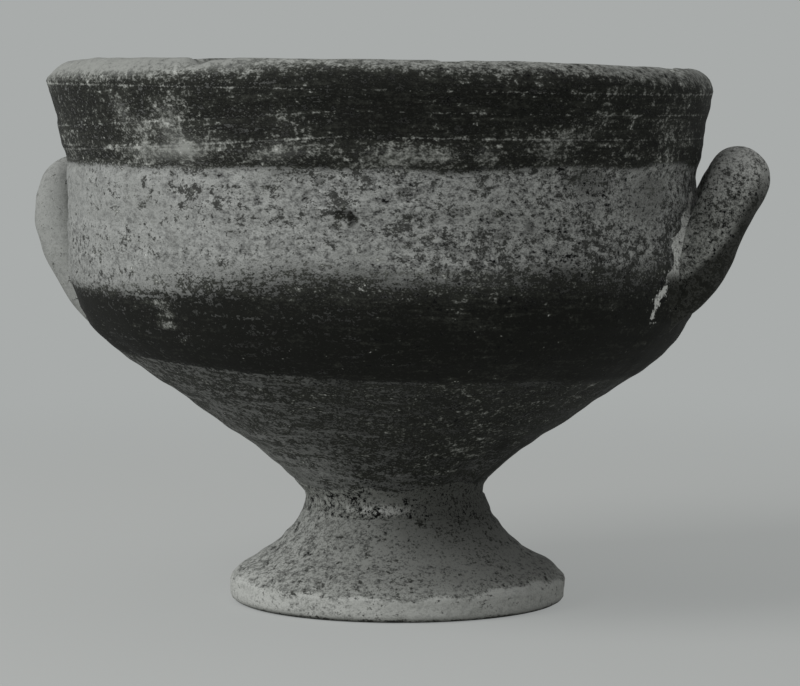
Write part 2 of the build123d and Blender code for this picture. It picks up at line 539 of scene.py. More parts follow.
@dataclass(frozen=True)
class Stance:
    """How the bowl stands on its foot: pushed to -X, leaning on to -X, and falling towards +X."""

    joint_height: float = 22.5
    foot_middle: float = 1.5
    shift: float = 2.0
    lean_slope: float = 2.0 / 92.0
    fall_angle: float = 1.24

    def place(self, points: np.ndarray) -> np.ndarray:
        """Set upright bowl points on the foot.

        x gains the foot's own middle, and loses the shift and the lean slope times the height
        over the joint. z loses x times the tangent of the fall angle.

        Args:
            points: Array of (x, y, z) in the bowl's own upright frame.

        Returns:
            The same points in the cup's frame.
        """
        x, y, z = np.moveaxis(points, -1, 0)
        leaning = x + self.foot_middle - self.shift - self.lean_slope * (z - self.joint_height)
        falling = z - np.tan(np.radians(self.fall_angle)) * x
        return np.stack([leaning, y, falling], -1)


@dataclass(frozen=True)
class ScoredLine:
    """A fine scored line round the bowl, rubbed pale, which climbs from -X to the front."""

    height: float
    climb: float
    half_width: float
    strength: float


def wheel_level(bearing: np.ndarray, height: np.ndarray) -> np.ndarray:
    """Height along the painted lines, which fan out a little towards +X.

    The height less the fan's share of the height over the widest part times the sine of the
    bearing.
    """
    return height - LINE_FAN * (height - WIDEST_HEIGHT) * np.sin(np.radians(bearing))


@dataclass
class ThrownBowl:
    """The thrown bowl: its outside, its lip and its inside, as one closed surface."""

    foot_height: float = 22.5
    base_radius: float = 17.2
    throat: tuple[float, float] = (30.2, 34.0)
    throat_hollow: float = 0.45
    belly_base: tuple[float, float] = (57.1, 52.7)
    shoulder: tuple[float, float] = (65.0, 63.0)
    wall: tuple[float, float] = (66.6, 73.0)
    lip_step_height: float = 93.5
    lip_base: tuple[float, float] = (67.5, 95.5)
    lip_edge: tuple[float, float] = (70.1, 109.1)
    lip_hollow: float = 0.2
    crest: tuple[float, float] = (66.0, 114.7)
    inner_lip: tuple[float, float] = (63.7, 111.5)
    inner_wall_radius: float = 61.8
    underbelly_thickness: float = 5.4
    floor_radius: float = 20.0
    lump_radius: float = 60.0
    lumps: tuple[tuple[float, float, int], ...] = ((16, 0.16, 3), (5, 0.07, 4))
    plain_base: float = 0.5
    full_relief: float = 4.0
    rim_drop: float = 0.285
    rim_tilt: float = 0.38
    rim_sag: float = 0.4275
    out_of_round: float = 0.18
    round_within: float = 40.0
    chip_inwards: float = 0.35
    chip_downwards: float = 0.85
    outer_spacing: float = 0.9
    inner_spacing: float = 2.4
    columns: int = 440
    stance: Stance = field(default_factory=Stance)
    # Each set of wheel rings: its pitch, its height and the whole turns of its spiral
    wheel_rings: tuple[tuple[float, float, int], ...] = (
        (10.5, 0.10, 1),
        (5.6, 0.07, -1),
        (3.7, 0.045, 1),
        (2.6, 0.03, 0),
    )
    inner_rings: tuple[tuple[float, float, int], ...] = ((8.2, 0.28, 1),)
    chips: tuple[Patch, ...] = (
        Patch(-25.5, 114.7, 1.9, 1.2, 1.3),
        Patch(-21.8, 114.7, 2.6, 0.9, 0.4),
        Patch(68.3, 114.6, 2.0, 1.6, 1.0),
        Patch(8.0, 114.8, 2.4, 0.7, 0.35),
        Patch(37.0, 114.7, 1.6, 0.8, 0.4),
        Patch(121.0, 114.6, 3.0, 1.4, 0.9),
        Patch(172.0, 114.7, 2.2, 1.1, 0.8),
        Patch(-112.0, 114.6, 2.6, 1.2, 0.7),
        Patch(-84.0, 114.2, 22.0, 3.0, 1.5),
    )

    def wall_outline(self) -> np.ndarray:
        """Rising outline from the base to the lip's edge: hollow throat, straight underbelly,
        belly and shoulder arcs, wall, lip step and hollow lip."""
        base = (self.base_radius, self.foot_height)
        slope = unit(np.subtract(self.belly_base, self.throat))
        belly = arc(self.belly_base, slope, self.shoulder)
        step = (self.wall[0], self.lip_step_height)
        stretches = [
            bowed(base, self.throat, self.throat_hollow),
            straight(self.throat, self.belly_base),
            belly,
            arc(self.shoulder, last_direction(belly), self.wall),
            straight(self.wall, step),
            straight(step, self.lip_base),
            bowed(self.lip_base, self.lip_edge, self.lip_hollow),
        ]
        return joined(stretches)

    def outside(self) -> np.ndarray:
        """Outline from the middle of the base, out along it, up the wall and on to the crest."""
        wall = self.wall_outline()
        base = straight((0, self.foot_height), wall[0])
        return joined([base, wall, arc(self.lip_edge, last_direction(wall), self.crest)])

    def inside(self) -> np.ndarray:
        """Outline from the crest down the inside of the wall to the middle of the floor."""
        slope = unit(np.subtract(self.belly_base, self.throat))
        inward = np.array([-slope[1], slope[0]])
        belly = np.array(self.belly_base) + inward * self.underbelly_thickness
        floor_height = belly[1] - (belly[0] - self.floor_radius) * slope[1] / slope[0]
        half_slope = np.arctan2(slope[1], slope[0]) / 2
        middle = (0.0, floor_height - self.floor_radius * np.tan(half_slope))
        wall_foot = (self.inner_wall_radius, self.wall[1])
        stretches = [
            arc(self.crest, (-1, 0), self.inner_lip),
            straight(self.inner_lip, (self.inner_wall_radius, self.lip_base[1])),
            straight((self.inner_wall_radius, self.lip_base[1]), wall_foot),
            arc(belly, slope, wall_foot)[::-1],
            straight(belly, (self.floor_radius, floor_height)),
            arc((self.floor_radius, floor_height), -slope, middle),
        ]
        return joined(stretches)

    def radius_at(self, height: np.ndarray) -> np.ndarray:
        """Outside radius at a height."""
        wall = self.wall_outline()
        return np.interp(height, wall[:, 1], wall[:, 0])

    def relief(self, bearing: np.ndarray, height: np.ndarray, outer: np.ndarray) -> np.ndarray:
        """How far the surface stands off the outline, in millimetres.

        Spiral rings up the wheel level, plus soft unevenness in two grains. Inside, there are
        wider and deeper rings too.

        Args:
            bearing: Bearings of the grid, in degrees.
            height: Heights of the grid.
            outer: 1 on the outside and 0 on the inside.

        Returns:
            Array of distances along the outward normal.
        """
        turn = np.radians(bearing)
        level = wheel_level(bearing, height)
        inner_rings = spiral_rings(turn, height, self.inner_rings) * (1 - outer)
        soft = lumpiness(turn, height, self.lump_radius, *self.lumps)
        return spiral_rings(turn, level, self.wheel_rings) + inner_rings + soft

    def build(self) -> bpy.types.Object:
        """Make the bowl's mesh with its marks.

        The outline is carried round the axis, with the relief along its normal. The radius gains
        the out of round times the sine of twice the bearing. The rim drops, tilts up towards +X
        and sags at both sides with the cosine of twice the bearing, and each chip bites its bell
        curve out of it.

        Returns:
            The bowl's object.
        """
        outside = walk(self.outside(), self.outer_spacing)[1:]
        inside = walk(self.inside(), self.inner_spacing)[1:-1]
        outline = np.concatenate([outside, inside])
        outer = np.r_[np.ones(len(outside)), np.zeros(len(inside))][:, None]
        normal = normals(outline)
        bearing = all_round(self.columns)
        turn = np.radians(bearing)
        radius, height = outline[:, :1], outline[:, 1:]

        base_top = self.foot_height + self.full_relief
        base_fade = smooth_step(self.foot_height + self.plain_base, base_top, height)
        stand_off = self.relief(bearing, height, outer) * np.maximum(base_fade, 1 - outer)
        rim = smooth_step(self.lip_base[1], self.crest[1], height)
        chip = gathered(self.chips, bearing, height, self.lip_edge[0])
        wave = self.rim_tilt * np.sin(turn) + self.rim_sag * np.cos(2 * turn) - self.rim_drop
        stand_off = stand_off - self.chip_inwards * chip
        oval = self.out_of_round * np.sin(2 * turn) * (radius > self.round_within)
        full_radius = radius + stand_off * normal[:, :1] + oval
        full_height = height + stand_off * normal[:, 1:] + rim * wave - self.chip_downwards * chip
        upright = round_axis(turn, full_radius, full_height).reshape(-1, 3)
        poles = np.array([(0, 0, self.foot_height), (0, 0, self.inside()[-1, 1])])
        upright = np.concatenate([upright, poles])
        rows = len(outline)
        base_pole, floor_pole = rows * self.columns, rows * self.columns + 1
        triangles = np.concatenate([
            fan(0, self.columns, base_pole, outwards=False),
            fan((rows - 1) * self.columns, self.columns, floor_pole, outwards=True),
        ])
        marks = Painting(self).marks(*np.broadcast_arrays(bearing, height, outer))
        marks = {name: np.r_[grid.ravel(), grid[0, 0], grid[-1, 0]] for name, grid in marks.items()}
        marks["thrown"] = upright
        quads = grid_quads(rows, self.columns)
        return make_piece("bowl_surface", self.stance.place(upright), quads, triangles, marks)


@dataclass(frozen=True)
class Fade:
    """How slip sets in below a band's top, in millimetres over that top.

    There is none at the start, and all of it at the full level. Both lie lower by their drops
    where the brush ran dry.
    """

    start: float
    full: float
    start_drop: float = 0.0
    full_drop: float = 0.0

    def share(self, above: np.ndarray, dry: np.ndarray) -> np.ndarray:
        """Ease from 0 at the start to 1 at the full level, by the height over the band's top."""
        start, full = self.start - self.start_drop * dry, self.full - self.full_drop * dry
        return smooth_step(start, full, above)


@dataclass
class Painting:
    """Where the slip was brushed on the turning bowl, and where it has since worn away."""

    bowl: ThrownBowl
    lip_band_edge: float = 93.4
    belly_band_top: float = 78.6
    belly_band_bottom: float = 51.8
    crisp: float = 0.8
    stem_zone: tuple[float, float] = (38.0, 28.0)
    lip_flaking: tuple[float, float] = (101.0, 95.0)
    lip_lines_from: float = 95.0
    lip_lines_climb: float = 5.3
    inner_floor: tuple[float, float] = (60.0, 36.0)
    inner_lip: tuple[float, float] = (109.0, 114.0)
    left_side: tuple[float, float, float, float] = (-150, -100, -50, -5)
    right_side: tuple[float, float, float, float] = (-35, 40, 110, 170)
    dry_side: tuple[float, float, float, float] = (-160, -110, -55, 8)
    wash: Fade = Fade(0.4, -7.0, 5.6, 9.0)
    thick: Fade = Fade(-5.4, -11.4, 5.0, 3.8)
    solid: Fade = Fade(-10.0, -15.0)
    sprinkled: Fade = Fade(5.0, -8.0)
    # How much slip the wash and the thick coat leave: where the brush was wet, and where it was dry
    wash_slip: tuple[float, float] = (0.62, 0.40)
    thick_slip: tuple[float, float] = (0.40, 0.65)
    underbelly_slip: float = 0.69
    # How far edges wander, in three kinds: grain, height and seed
    wander: tuple[tuple[float, float, int], ...] = ((9, 0.5, 11), (22, 1.0, 12), (2.4, 0.3, 13))
    wander_radius: float = 66.0
    rim_wear: tuple[Patch, ...] = (
        Patch(-80, 113.4, 24, 3.3, 0.95),
        Patch(-55, 113.8, 16, 3.0, 0.8),
        Patch(-38, 113.8, 12, 3.0, 0.9),
        Patch(-22, 114.4, 12, 2.8, 0.65),
        Patch(0, 114.8, 24, 2.3, 0.55),
        Patch(30, 114.8, 30, 2.3, 0.5),
        Patch(60, 114.0, 22, 2.7, 0.45),
        Patch(84, 113.4, 16, 4.0, 0.45),
        Patch(140, 114.4, 60, 3.0, 0.5),
        Patch(-150, 114.4, 60, 3.0, 0.5),
    )
    flakes: tuple[Patch, ...] = (
        Patch(-42.6, 104.0, 3.4, 3.0, 0.42),
        Patch(-37.5, 100.3, 5.0, 2.4, 0.38),
        Patch(-31.5, 104.5, 4.6, 2.6, 0.34),
        Patch(-30.5, 99.4, 4.0, 3.0, 0.40),
        Patch(-36.0, 95.4, 8.0, 1.8, 0.44),
        Patch(-27.5, 96.2, 5.0, 2.0, 0.40),
        Patch(-23.0, 98.5, 5.0, 2.6, 0.26),
        Patch(-12.7, 95.8, 5.0, 1.8, 0.34),
        Patch(-7.5, 97.4, 7.0, 2.0, 0.36),
        Patch(-9.6, 102.5, 4.0, 2.6, 0.26),
        Patch(4.0, 96.0, 5.0, 2.2, 0.32),
        Patch(9.0, 96.6, 5.0, 2.2, 0.38),
        Patch(15.0, 96.2, 6.0, 2.4, 0.42),
        Patch(23.8, 96.6, 2.8, 2.2, 0.44),
        Patch(33.5, 99.8, 6.0, 2.4, 0.26),
        Patch(35.8, 96.8, 5.0, 2.0, 0.32),
        Patch(40.0, 100.8, 5.0, 2.2, 0.28),
        Patch(45.0, 105.2, 4.0, 2.4, 0.20),
        Patch(52.4, 97.1, 5.0, 2.4, 0.18),
        Patch(64.0, 99.8, 4.0, 5.0, 0.24),
        Patch(72.0, 100.0, 4.0, 6.0, 0.2),
        Patch(150.0, 99.0, 14.0, 4.0, 0.36),
        Patch(205.0, 103.0, 18.0, 5.0, 0.36),
        Patch(238.0, 97.0, 10.0, 3.0, 0.36),
        Patch(-37.4, 65.2, 4.6, 0.9, 0.75),
        Patch(-36.0, 63.2, 3.4, 0.8, 0.6),
        Patch(-37.2, 61.0, 3.6, 0.9, 0.75),
        Patch(-34.0, 58.4, 2.4, 0.8, 0.45),
        Patch(130.0, 58.0, 16.0, 3.0, 0.24),
    )
    blots: tuple[Patch, ...] = (
        Patch(-0.4, 85.1, 2.6, 1.0, 1.0),
        Patch(1.2, 83.9, 1.2, 1.2, 1.0),
        Patch(1.6, 90.0, 0.6, 0.8, 0.7),
        Patch(3.6, 92.4, 0.5, 0.9, 0.6),
        Patch(9.2, 89.0, 0.6, 1.7, 0.6),
        Patch(10.0, 84.2, 0.9, 1.0, 0.6),
        Patch(13.4, 84.4, 0.8, 0.7, 0.5),
        Patch(8.4, 79.0, 1.1, 0.7, 0.55),
        Patch(10.4, 79.4, 0.8, 0.7, 0.55),
        Patch(18.8, 86.0, 1.5, 0.9, 0.5),
        Patch(25.6, 85.2, 1.0, 1.0, 0.5),
        Patch(26.4, 81.4, 2.0, 1.2, 0.5),
        Patch(31.6, 82.6, 1.2, 1.4, 0.45),
        Patch(-2.6, 71.6, 0.7, 1.0, 1.2),
        Patch(-5.6, 81.8, 1.6, 0.5, 0.5),
        Patch(-20.0, 80.3, 2.6, 1.0, 0.36),
        Patch(-39.5, 85.2, 2.4, 1.0, 0.36),
        Patch(44.0, 91.6, 7.0, 3.0, 0.4),
        Patch(-4.2, 91.4, 1.4, 0.9, 0.5),
        Patch(-9.0, 92.8, 5.0, 1.4, 0.45),
        Patch(-13.0, 90.0, 2.0, 0.8, 0.4),
        Patch(-35.0, 94.0, 5.0, 1.6, 0.4),
        Patch(60.0, 88.0, 9.0, 5.0, 0.3),
        Patch(72.0, 78.0, 7.0, 9.0, 0.34),
        Patch(125.0, 84.0, 8.0, 3.0, 0.5),
        Patch(200.0, 80.0, 10.0, 4.0, 0.5),
        Patch(250.0, 87.0, 6.0, 2.0, 0.5),
    )
    smears: tuple[Patch, ...] = (
        Patch(61.4, 64.4, 1.2, 1.6, 0.75),
        Patch(62.6, 67.0, 1.6, 1.7, 0.9),
        Patch(65.0, 69.4, 2.1, 1.8, 1.0),
        Patch(68.2, 72.0, 2.6, 2.0, 1.1),
        Patch(71.0, 75.0, 2.6, 2.1, 1.1),
        Patch(73.8, 78.2, 2.6, 2.0, 1.0),
        Patch(76.6, 81.6, 2.8, 2.2, 1.0),
        Patch(77.4, 85.4, 2.8, 2.2, 0.9),
        Patch(80.0, 88.4, 3.0, 2.0, 0.75),
    )

    def marks(
        self, bearing: np.ndarray, height: np.ndarray, outer: np.ndarray
    ) -> dict[str, np.ndarray]:
        """Work out the bowl's marks at each vertex.

        slip is 1 where the coat was laid whole and 0 on bare clay. It covers the lip down to a
        crisp edge, the belly with a wash that turns to a thick coat lower down, and what is under
        that band thinly, with less where it drained to the left and by the stem. flakes is how
        far the coat has broken up since: evenly, more in each patch, and less where it is solid.
        specks is how densely dark grit shows, and grows towards +X and down to the belly band.
        wheel is the level that the brush followed, and smear is where the right handle's luting
        clay was wiped over the wall.

        Args:
            bearing: Bearings of the grid, in degrees.
            height: Heights of the grid.
            outer: 1 on the outside and 0 on the inside.

        Returns:
            Mark name to its grid of numbers.
        """
        turn = np.radians(bearing)
        level = wheel_level(bearing, height)
        above, bottom = level - self.belly_band_top, level - self.belly_band_bottom
        left, right, dry = (
            sector(bearing, edges) for edges in (self.left_side, self.right_side, self.dry_side)
        )
        soft, softer, torn = (
            lumpiness(turn, height, self.wander_radius, kind) for kind in self.wander
        )
        radius = self.bowl.lip_edge[0]

        lip_band = smooth_step(-self.crisp, self.crisp, level - self.lip_band_edge - self.crisp * soft)
        brushed = above + 1.2 * soft + 0.8 * softer + 1.5 * right
        wash, thick = self.wash.share(brushed, dry), self.thick.share(above + soft, dry)
        band = wash * between(self.wash_slip, dry) + thick * between(self.thick_slip, dry)
        band = band * smooth_step(-0.6, 0.6, bottom + 0.4 * soft)
        under = smooth_step(1.8, 0.4, bottom)
        drained = smooth_step(self.belly_band_bottom - 2, self.stem_zone[1], height) * dry
        thinned = 0.3 * drained + 0.12 * smooth_step(*self.stem_zone, height)
        thin = under * (self.underbelly_slip + 0.04 * right - thinned + 0.07 * softer)
        blots = gathered(self.blots, bearing + torn, height + torn, radius, crispness=3)
        outside_slip = np.maximum(np.maximum(lip_band, thin), np.maximum(band, blots))
        inside_slip = 0.85 - 0.25 * smooth_step(*self.inner_floor, height) + 0.1 * soft

        lip_wear = 0.06 * left + 0.1 * smooth_step(*self.lip_flaking, height) * (1 - 0.7 * right)
        worn = gathered((*self.flakes, *self.rim_wear), bearing, height, radius)
        worn = worn + lip_band * lip_wear
        solid = band * self.solid.share(above, dry)
        outside_flakes = 0.12 + 0.05 * softer + worn - 0.24 * solid
        inside_flakes = 0.2 + 0.1 * softer + 0.5 * smooth_step(*self.inner_lip, height)
        sprinkled = 0.3 * self.sprinkled.share(brushed, dry) - 0.1 * under
        specks = 0.3 + 0.7 * right - 0.25 * left + 0.2 * soft + sprinkled
        lip_lines = height - self.lip_lines_climb * np.minimum(np.sin(turn), 0)
        smear = gathered(self.smears, bearing, height, radius)
        return {
            "slip": np.where(outer > 0.5, outside_slip, inside_slip),
            "flakes": np.where(outer > 0.5, outside_flakes, inside_flakes),
            "specks": np.clip(specks, 0, 1.3),
            "wheel": np.where(height > self.lip_lines_from, lip_lines, level),
            "smear": np.where(outer > 0.5, smear, 0),
        }


@dataclass(frozen=True)
class BandedSlip:
    """Wheel-thrown fired clay with dark slip brushed on in bands, worn to a matt, gritty skin.

    Fired clay scatters light evenly. The slip is a fine iron-bearing clay, a little closer and
    smoother than the body, so it is only slightly less rough.
    """

    clay_light: str = "#A0A2A0"
    clay_dark: str = "#7C7E7B"
    slip_dark: str = "#12130F"
    slip_worn: str = "#474943"
    speck: str = "#1D1E1A"
    crumb: str = "#8E908C"
    wiped: str = "#DADCD8"
    drawn_out: float = 1.35
    mottle_grain: float = 3.6
    crumb_grain: float = 1.2
    speck_grain: float = 1.5
    cloud_grain: float = 14.0
    streak_pitch: float = 1.3
    grit_depth: float = 0.08
    roughness: float = 0.86
    brush_run: float = 14.0
    moved_by: tuple[float, float, float] = (31.0, 17.0, 5.0)
    grit_share: float = 0.12
    cloudy: Layer = Layer(())
    grit: Layer = Layer(
        (("crest", 1.0), ("mottle", 1.2), ("streak", 0.3), ("cloud", 0.5)), 0.11, 0.25, 0.9
    )
    worn: Layer = Layer((("mottle", 1.6), ("crumb", 1.4), ("streak", 1.6)))
    crumbled: Layer = Layer((("mottle", 1.3), ("crumb", 1.5), ("streak", 0.5)), 0.32, 0.9, 0.92)
    coat: Layer = Layer((("mottle", 1.5), ("crumb", 2.2), ("streak", 1.5)), 0.26, 0.74)
    smeared: Layer = Layer((("mottle", 1.8), ("crumb", 1.8)), 0.5, 0.8)
    grain: tuple[tuple[str, float], ...] = (("mottle", 3.6), ("crumb", 3.0), ("streak", 1.4))
    relief: tuple[tuple[str, float], ...] = (("mottle", 1.0), ("crumb", 1.0), ("crumbled", -0.4))
    lines: tuple[ScoredLine, ...] = (
        ScoredLine(109.0, 0.6, 0.30, 0.30),
        ScoredLine(104.8, 5.3, 0.26, 0.26),
        ScoredLine(99.9, 5.3, 0.30, 0.32),
        ScoredLine(96.9, 1.0, 0.24, 0.14),
        ScoredLine(90.4, 0.3, 0.22, 0.14),
        ScoredLine(87.8, 0.3, 0.22, 0.12),
    )

    def scored(
        self, tree: bpy.types.NodeTree, thrown: bpy.types.NodeSocket
    ) -> bpy.types.NodeSocket:
        """Add nodes for the scored lines.

        A line's own height is z less its climb times x over the wall's radius where x is
        negative. It gives its strength on the line and nothing a half width away.

        Args:
            tree: The material's node tree.
            thrown: The place on the bowl as it stood on the wheel, in millimetres.

        Returns:
            The lines' strengths added up.
        """
        apart = add_node(tree, "SeparateXYZ", {0: thrown}, output="Z").node
        left = add_node(tree, "Math", {0: apart.outputs["X"], 1: 0.0}, operation="MINIMUM")
        total = 0.0
        for line in self.lines:
            climb = {0: left, 1: -line.climb / ThrownBowl.wall[0], 2: apart.outputs["Z"]}
            own = add_node(tree, "Math", climb, operation="MULTIPLY_ADD")
            away = add_node(tree, "Math", {0: own, 1: line.height}, operation="SUBTRACT")
            away = add_node(tree, "Math", {0: away}, operation="ABSOLUTE")
            fade = {"From Max": line.half_width, "To Min": line.strength, "To Max": 0.0}
            shown = add_node(tree, "MapRange", {"Value": away, **fade})
            total = add_node(tree, "Math", {0: shown, 1: total}, operation="ADD")
        return total

    def noises(
        self, tree: bpy.types.NodeTree, thrown: bpy.types.NodeSocket, wheel: bpy.types.NodeSocket
    ) -> dict[str, bpy.types.NodeSocket]:
        """Add the noises that break up the clay and the coat.

        Mottle, crumb and crest have nearly equal octaves, so they grade from blotches to single
        grains. Mottle and crest are drawn out level. Streak is what the brush left: it changes
        quickly with the wheel level and slowly round the bowl.

        Args:
            tree: The material's node tree.
            thrown: The place on the bowl as it stood on the wheel, in millimetres.
            wheel: The level that the brush followed.

        Returns:
            Name of each noise to its socket.
        """
        level_share = 1 / self.drawn_out
        drawn = {0: thrown, 1: (level_share, level_share, 1.0)}
        drawn = add_node(tree, "VectorMath", drawn, operation="MULTIPLY")
        moved = add_node(tree, "VectorMath", {0: drawn, 1: self.moved_by}, operation="ADD")
        slow_round = (1 / self.brush_run, 1 / self.brush_run, 0.0)
        across = add_node(tree, "VectorMath", {0: thrown, 1: slow_round}, operation="MULTIPLY")
        rows = add_node(tree, "Math", {0: wheel, 1: 1 / self.streak_pitch}, operation="MULTIPLY")
        upward = add_node(tree, "CombineXYZ", {"Z": rows})
        brushed = add_node(tree, "VectorMath", {0: across, 1: upward}, operation="ADD")
        kinds = (
            ("mottle", drawn, self.mottle_grain, 4.0, 1.0),
            ("crest", drawn, self.speck_grain, 3.0, 0.8),
            ("cloud", moved, self.cloud_grain, 2.0, 0.5),
            ("crumb", moved, self.crumb_grain, 2.0, 1.0),
            ("streak", brushed, 1.0, 3.0, 0.75),
        )
        return {
            name: add_node(
                tree,
                "TexNoise",
                {"Vector": place, "Scale": 1 / grain, "Detail": detail, "Roughness": octave_share},
            )
            for name, place, grain, detail, octave_share in kinds
        }

    def material(self) -> bpy.types.Material:
        """Build the material.

        The clay is clouded, graded by fine grain and sprinkled with dark grit, the more the
        higher the specks mark. The painted coat wears to a paler slip and crumbles to bare clay
        with the flakes mark and along the scored lines, and lies over the clay by the slip mark.
        The wiped luting clay lies over both.

        Returns:
            The material.
        """
        material, tree = new_material("banded_slip_on_fired_clay")
        thrown = add_node(tree, "Attribute", output="Vector", attribute_name="thrown")
        slip, flakes, specks, wheel, smear = (
            add_node(tree, "Attribute", output="Fac", attribute_name=name)
            for name in ("slip", "flakes", "specks", "wheel", "smear")
        )
        noises = self.noises(tree, thrown, wheel)
        grain = with_noises(tree, 0.0, noises, self.grain)

        dark, light = linear(self.clay_dark), linear(self.clay_light)
        clay, _ = self.cloudy.lay(tree, dark, light, noises["cloud"], noises)
        lively = add_node(tree, "Math", {0: specks, 1: 0.85, 2: 0.45}, operation="MULTIPLY_ADD")
        clay = graded(tree, clay, grain, lively)
        gritty = add_node(tree, "Math", {0: specks, 1: self.grit_share}, operation="MULTIPLY")
        clay, _ = self.grit.lay(tree, clay, linear(self.speck), gritty, noises)

        dark, light = linear(self.slip_dark), linear(self.slip_worn)
        painted, _ = self.worn.lay(tree, dark, light, flakes, noises)
        calm = {"Value": flakes, "From Min": 0.35, "From Max": 0.75, "To Min": 0.9, "To Max": 0.18}
        calm = add_node(tree, "MapRange", calm)
        bared = graded(tree, linear(self.crumb)[:3], grain, calm)
        loose = add_node(tree, "Math", {0: flakes, 1: self.scored(tree, thrown)}, operation="ADD")
        painted, crumbled = self.crumbled.lay(tree, painted, bared, loose, noises)

        colour, _ = self.coat.lay(tree, clay, painted, slip, noises)
        colour, _ = self.smeared.lay(tree, colour, linear(self.wiped), smear, noises)
        relief = with_noises(tree, 0.0, {**noises, "crumbled": crumbled}, self.relief)
        finish_clay(tree, colour, relief, self.grit_depth, self.roughness)
        return material


@dataclass(frozen=True)
class FiredClay:
    """Bare fired clay, matt and gritty, with pale wiped or rubbed places and dark grit, and painted
    light and painted shade where its pale and dark marks lay them.
    """

    name: str
    body: str = "#787A76"
    pale: str = "#9FA19D"
    speck: str = "#20211D"
    # Colour of the dark mark, which is mostly painted shade
    dark_and_painted_shade: str = "#2A2B27"
    contrast: float = 1.0
    drawn_out: tuple[float, float, float] = (1.0, 1.0, 1.0)
    mottle_grain: float = 3.4
    crumb_grain: float = 1.1
    speck_grain: float = 1.5
    grit_depth: float = 0.09
    roughness: float = 0.92
    grit_share: float = 0.12
    # Lays the pale mark: rubbed or wiped clay, and painted light on the foot's lit side
    rubbed: Layer = Layer((("mottle", 1.0), ("crumb", 0.8)), 0.25, 0.75)
    # Lays the dark colour: painted shade, and darkening low down on handles and fillets
    dark_and_painted_shade_layer: Layer = Layer((("mottle", 1.8), ("crumb", 1.6)), 0.15, 0.85)
    grit: Layer = Layer((("crest", 1.0), ("mottle", 1.2)), 0.1, 0.26, 0.9)
    grain: tuple[tuple[str, float], ...] = (("mottle", 3.6), ("crumb", 3.0))
    relief: tuple[tuple[str, float], ...] = (("mottle", 1.0), ("crumb", 1.0))

    def material(self) -> bpy.types.Material:
        """Build the material.

        Noises whose octaves are nearly equal grade the body, from blotches to single grains, and
        less where it is rubbed pale; the pale mark also carries painted light on the foot. A dark
        colour lies over it by its dark mark, mostly painted shade, and dark grit over that, the
        more the higher the specks mark.

        Returns:
            The material.
        """
        material, tree = new_material(self.name)
        thrown = add_node(tree, "Attribute", output="Vector", attribute_name="thrown")
        pale, specks, dark_and_painted_shade = (
            add_node(tree, "Attribute", output="Fac", attribute_name=name)
            for name in ("pale", "specks", "dark_and_painted_shade")
        )
        drawn = add_node(tree, "VectorMath", {0: thrown, 1: self.drawn_out}, operation="DIVIDE")
        kinds = (
            ("mottle", self.mottle_grain, 4.0, 1.0),
            ("crumb", self.crumb_grain, 2.0, 1.0),
            ("crest", self.speck_grain, 3.0, 0.8),
        )
        noises = {
            name: add_node(
                tree,
                "TexNoise",
                {"Vector": drawn, "Scale": 1 / grain, "Detail": detail, "Roughness": octave_share},
            )
            for name, grain, detail, octave_share in kinds
        }
        body, rubbed = self.rubbed.lay(tree, linear(self.body), linear(self.pale), pale, noises)
        weights = tuple((name, weight * self.contrast) for name, weight in self.grain)
        calm = add_node(tree, "MapRange", {"Value": rubbed, "To Min": 1.0, "To Max": 0.35})
        body = graded(tree, body, with_noises(tree, 0.0, noises, weights), calm)
        # Painted shade from the dark mark lies over the body here
        body, _ = self.dark_and_painted_shade_layer.lay(tree, body, linear(self.dark_and_painted_shade), dark_and_painted_shade, noises)
        gritty = add_node(tree, "Math", {0: specks, 1: self.grit_share}, operation="MULTIPLY")
        colour, _ = self.grit.lay(tree, body, linear(self.speck), gritty, noises)
        relief = with_noises(tree, 0.0, noises, self.relief)
        finish_clay(tree, colour, relief, self.grit_depth, self.roughness)
        return material


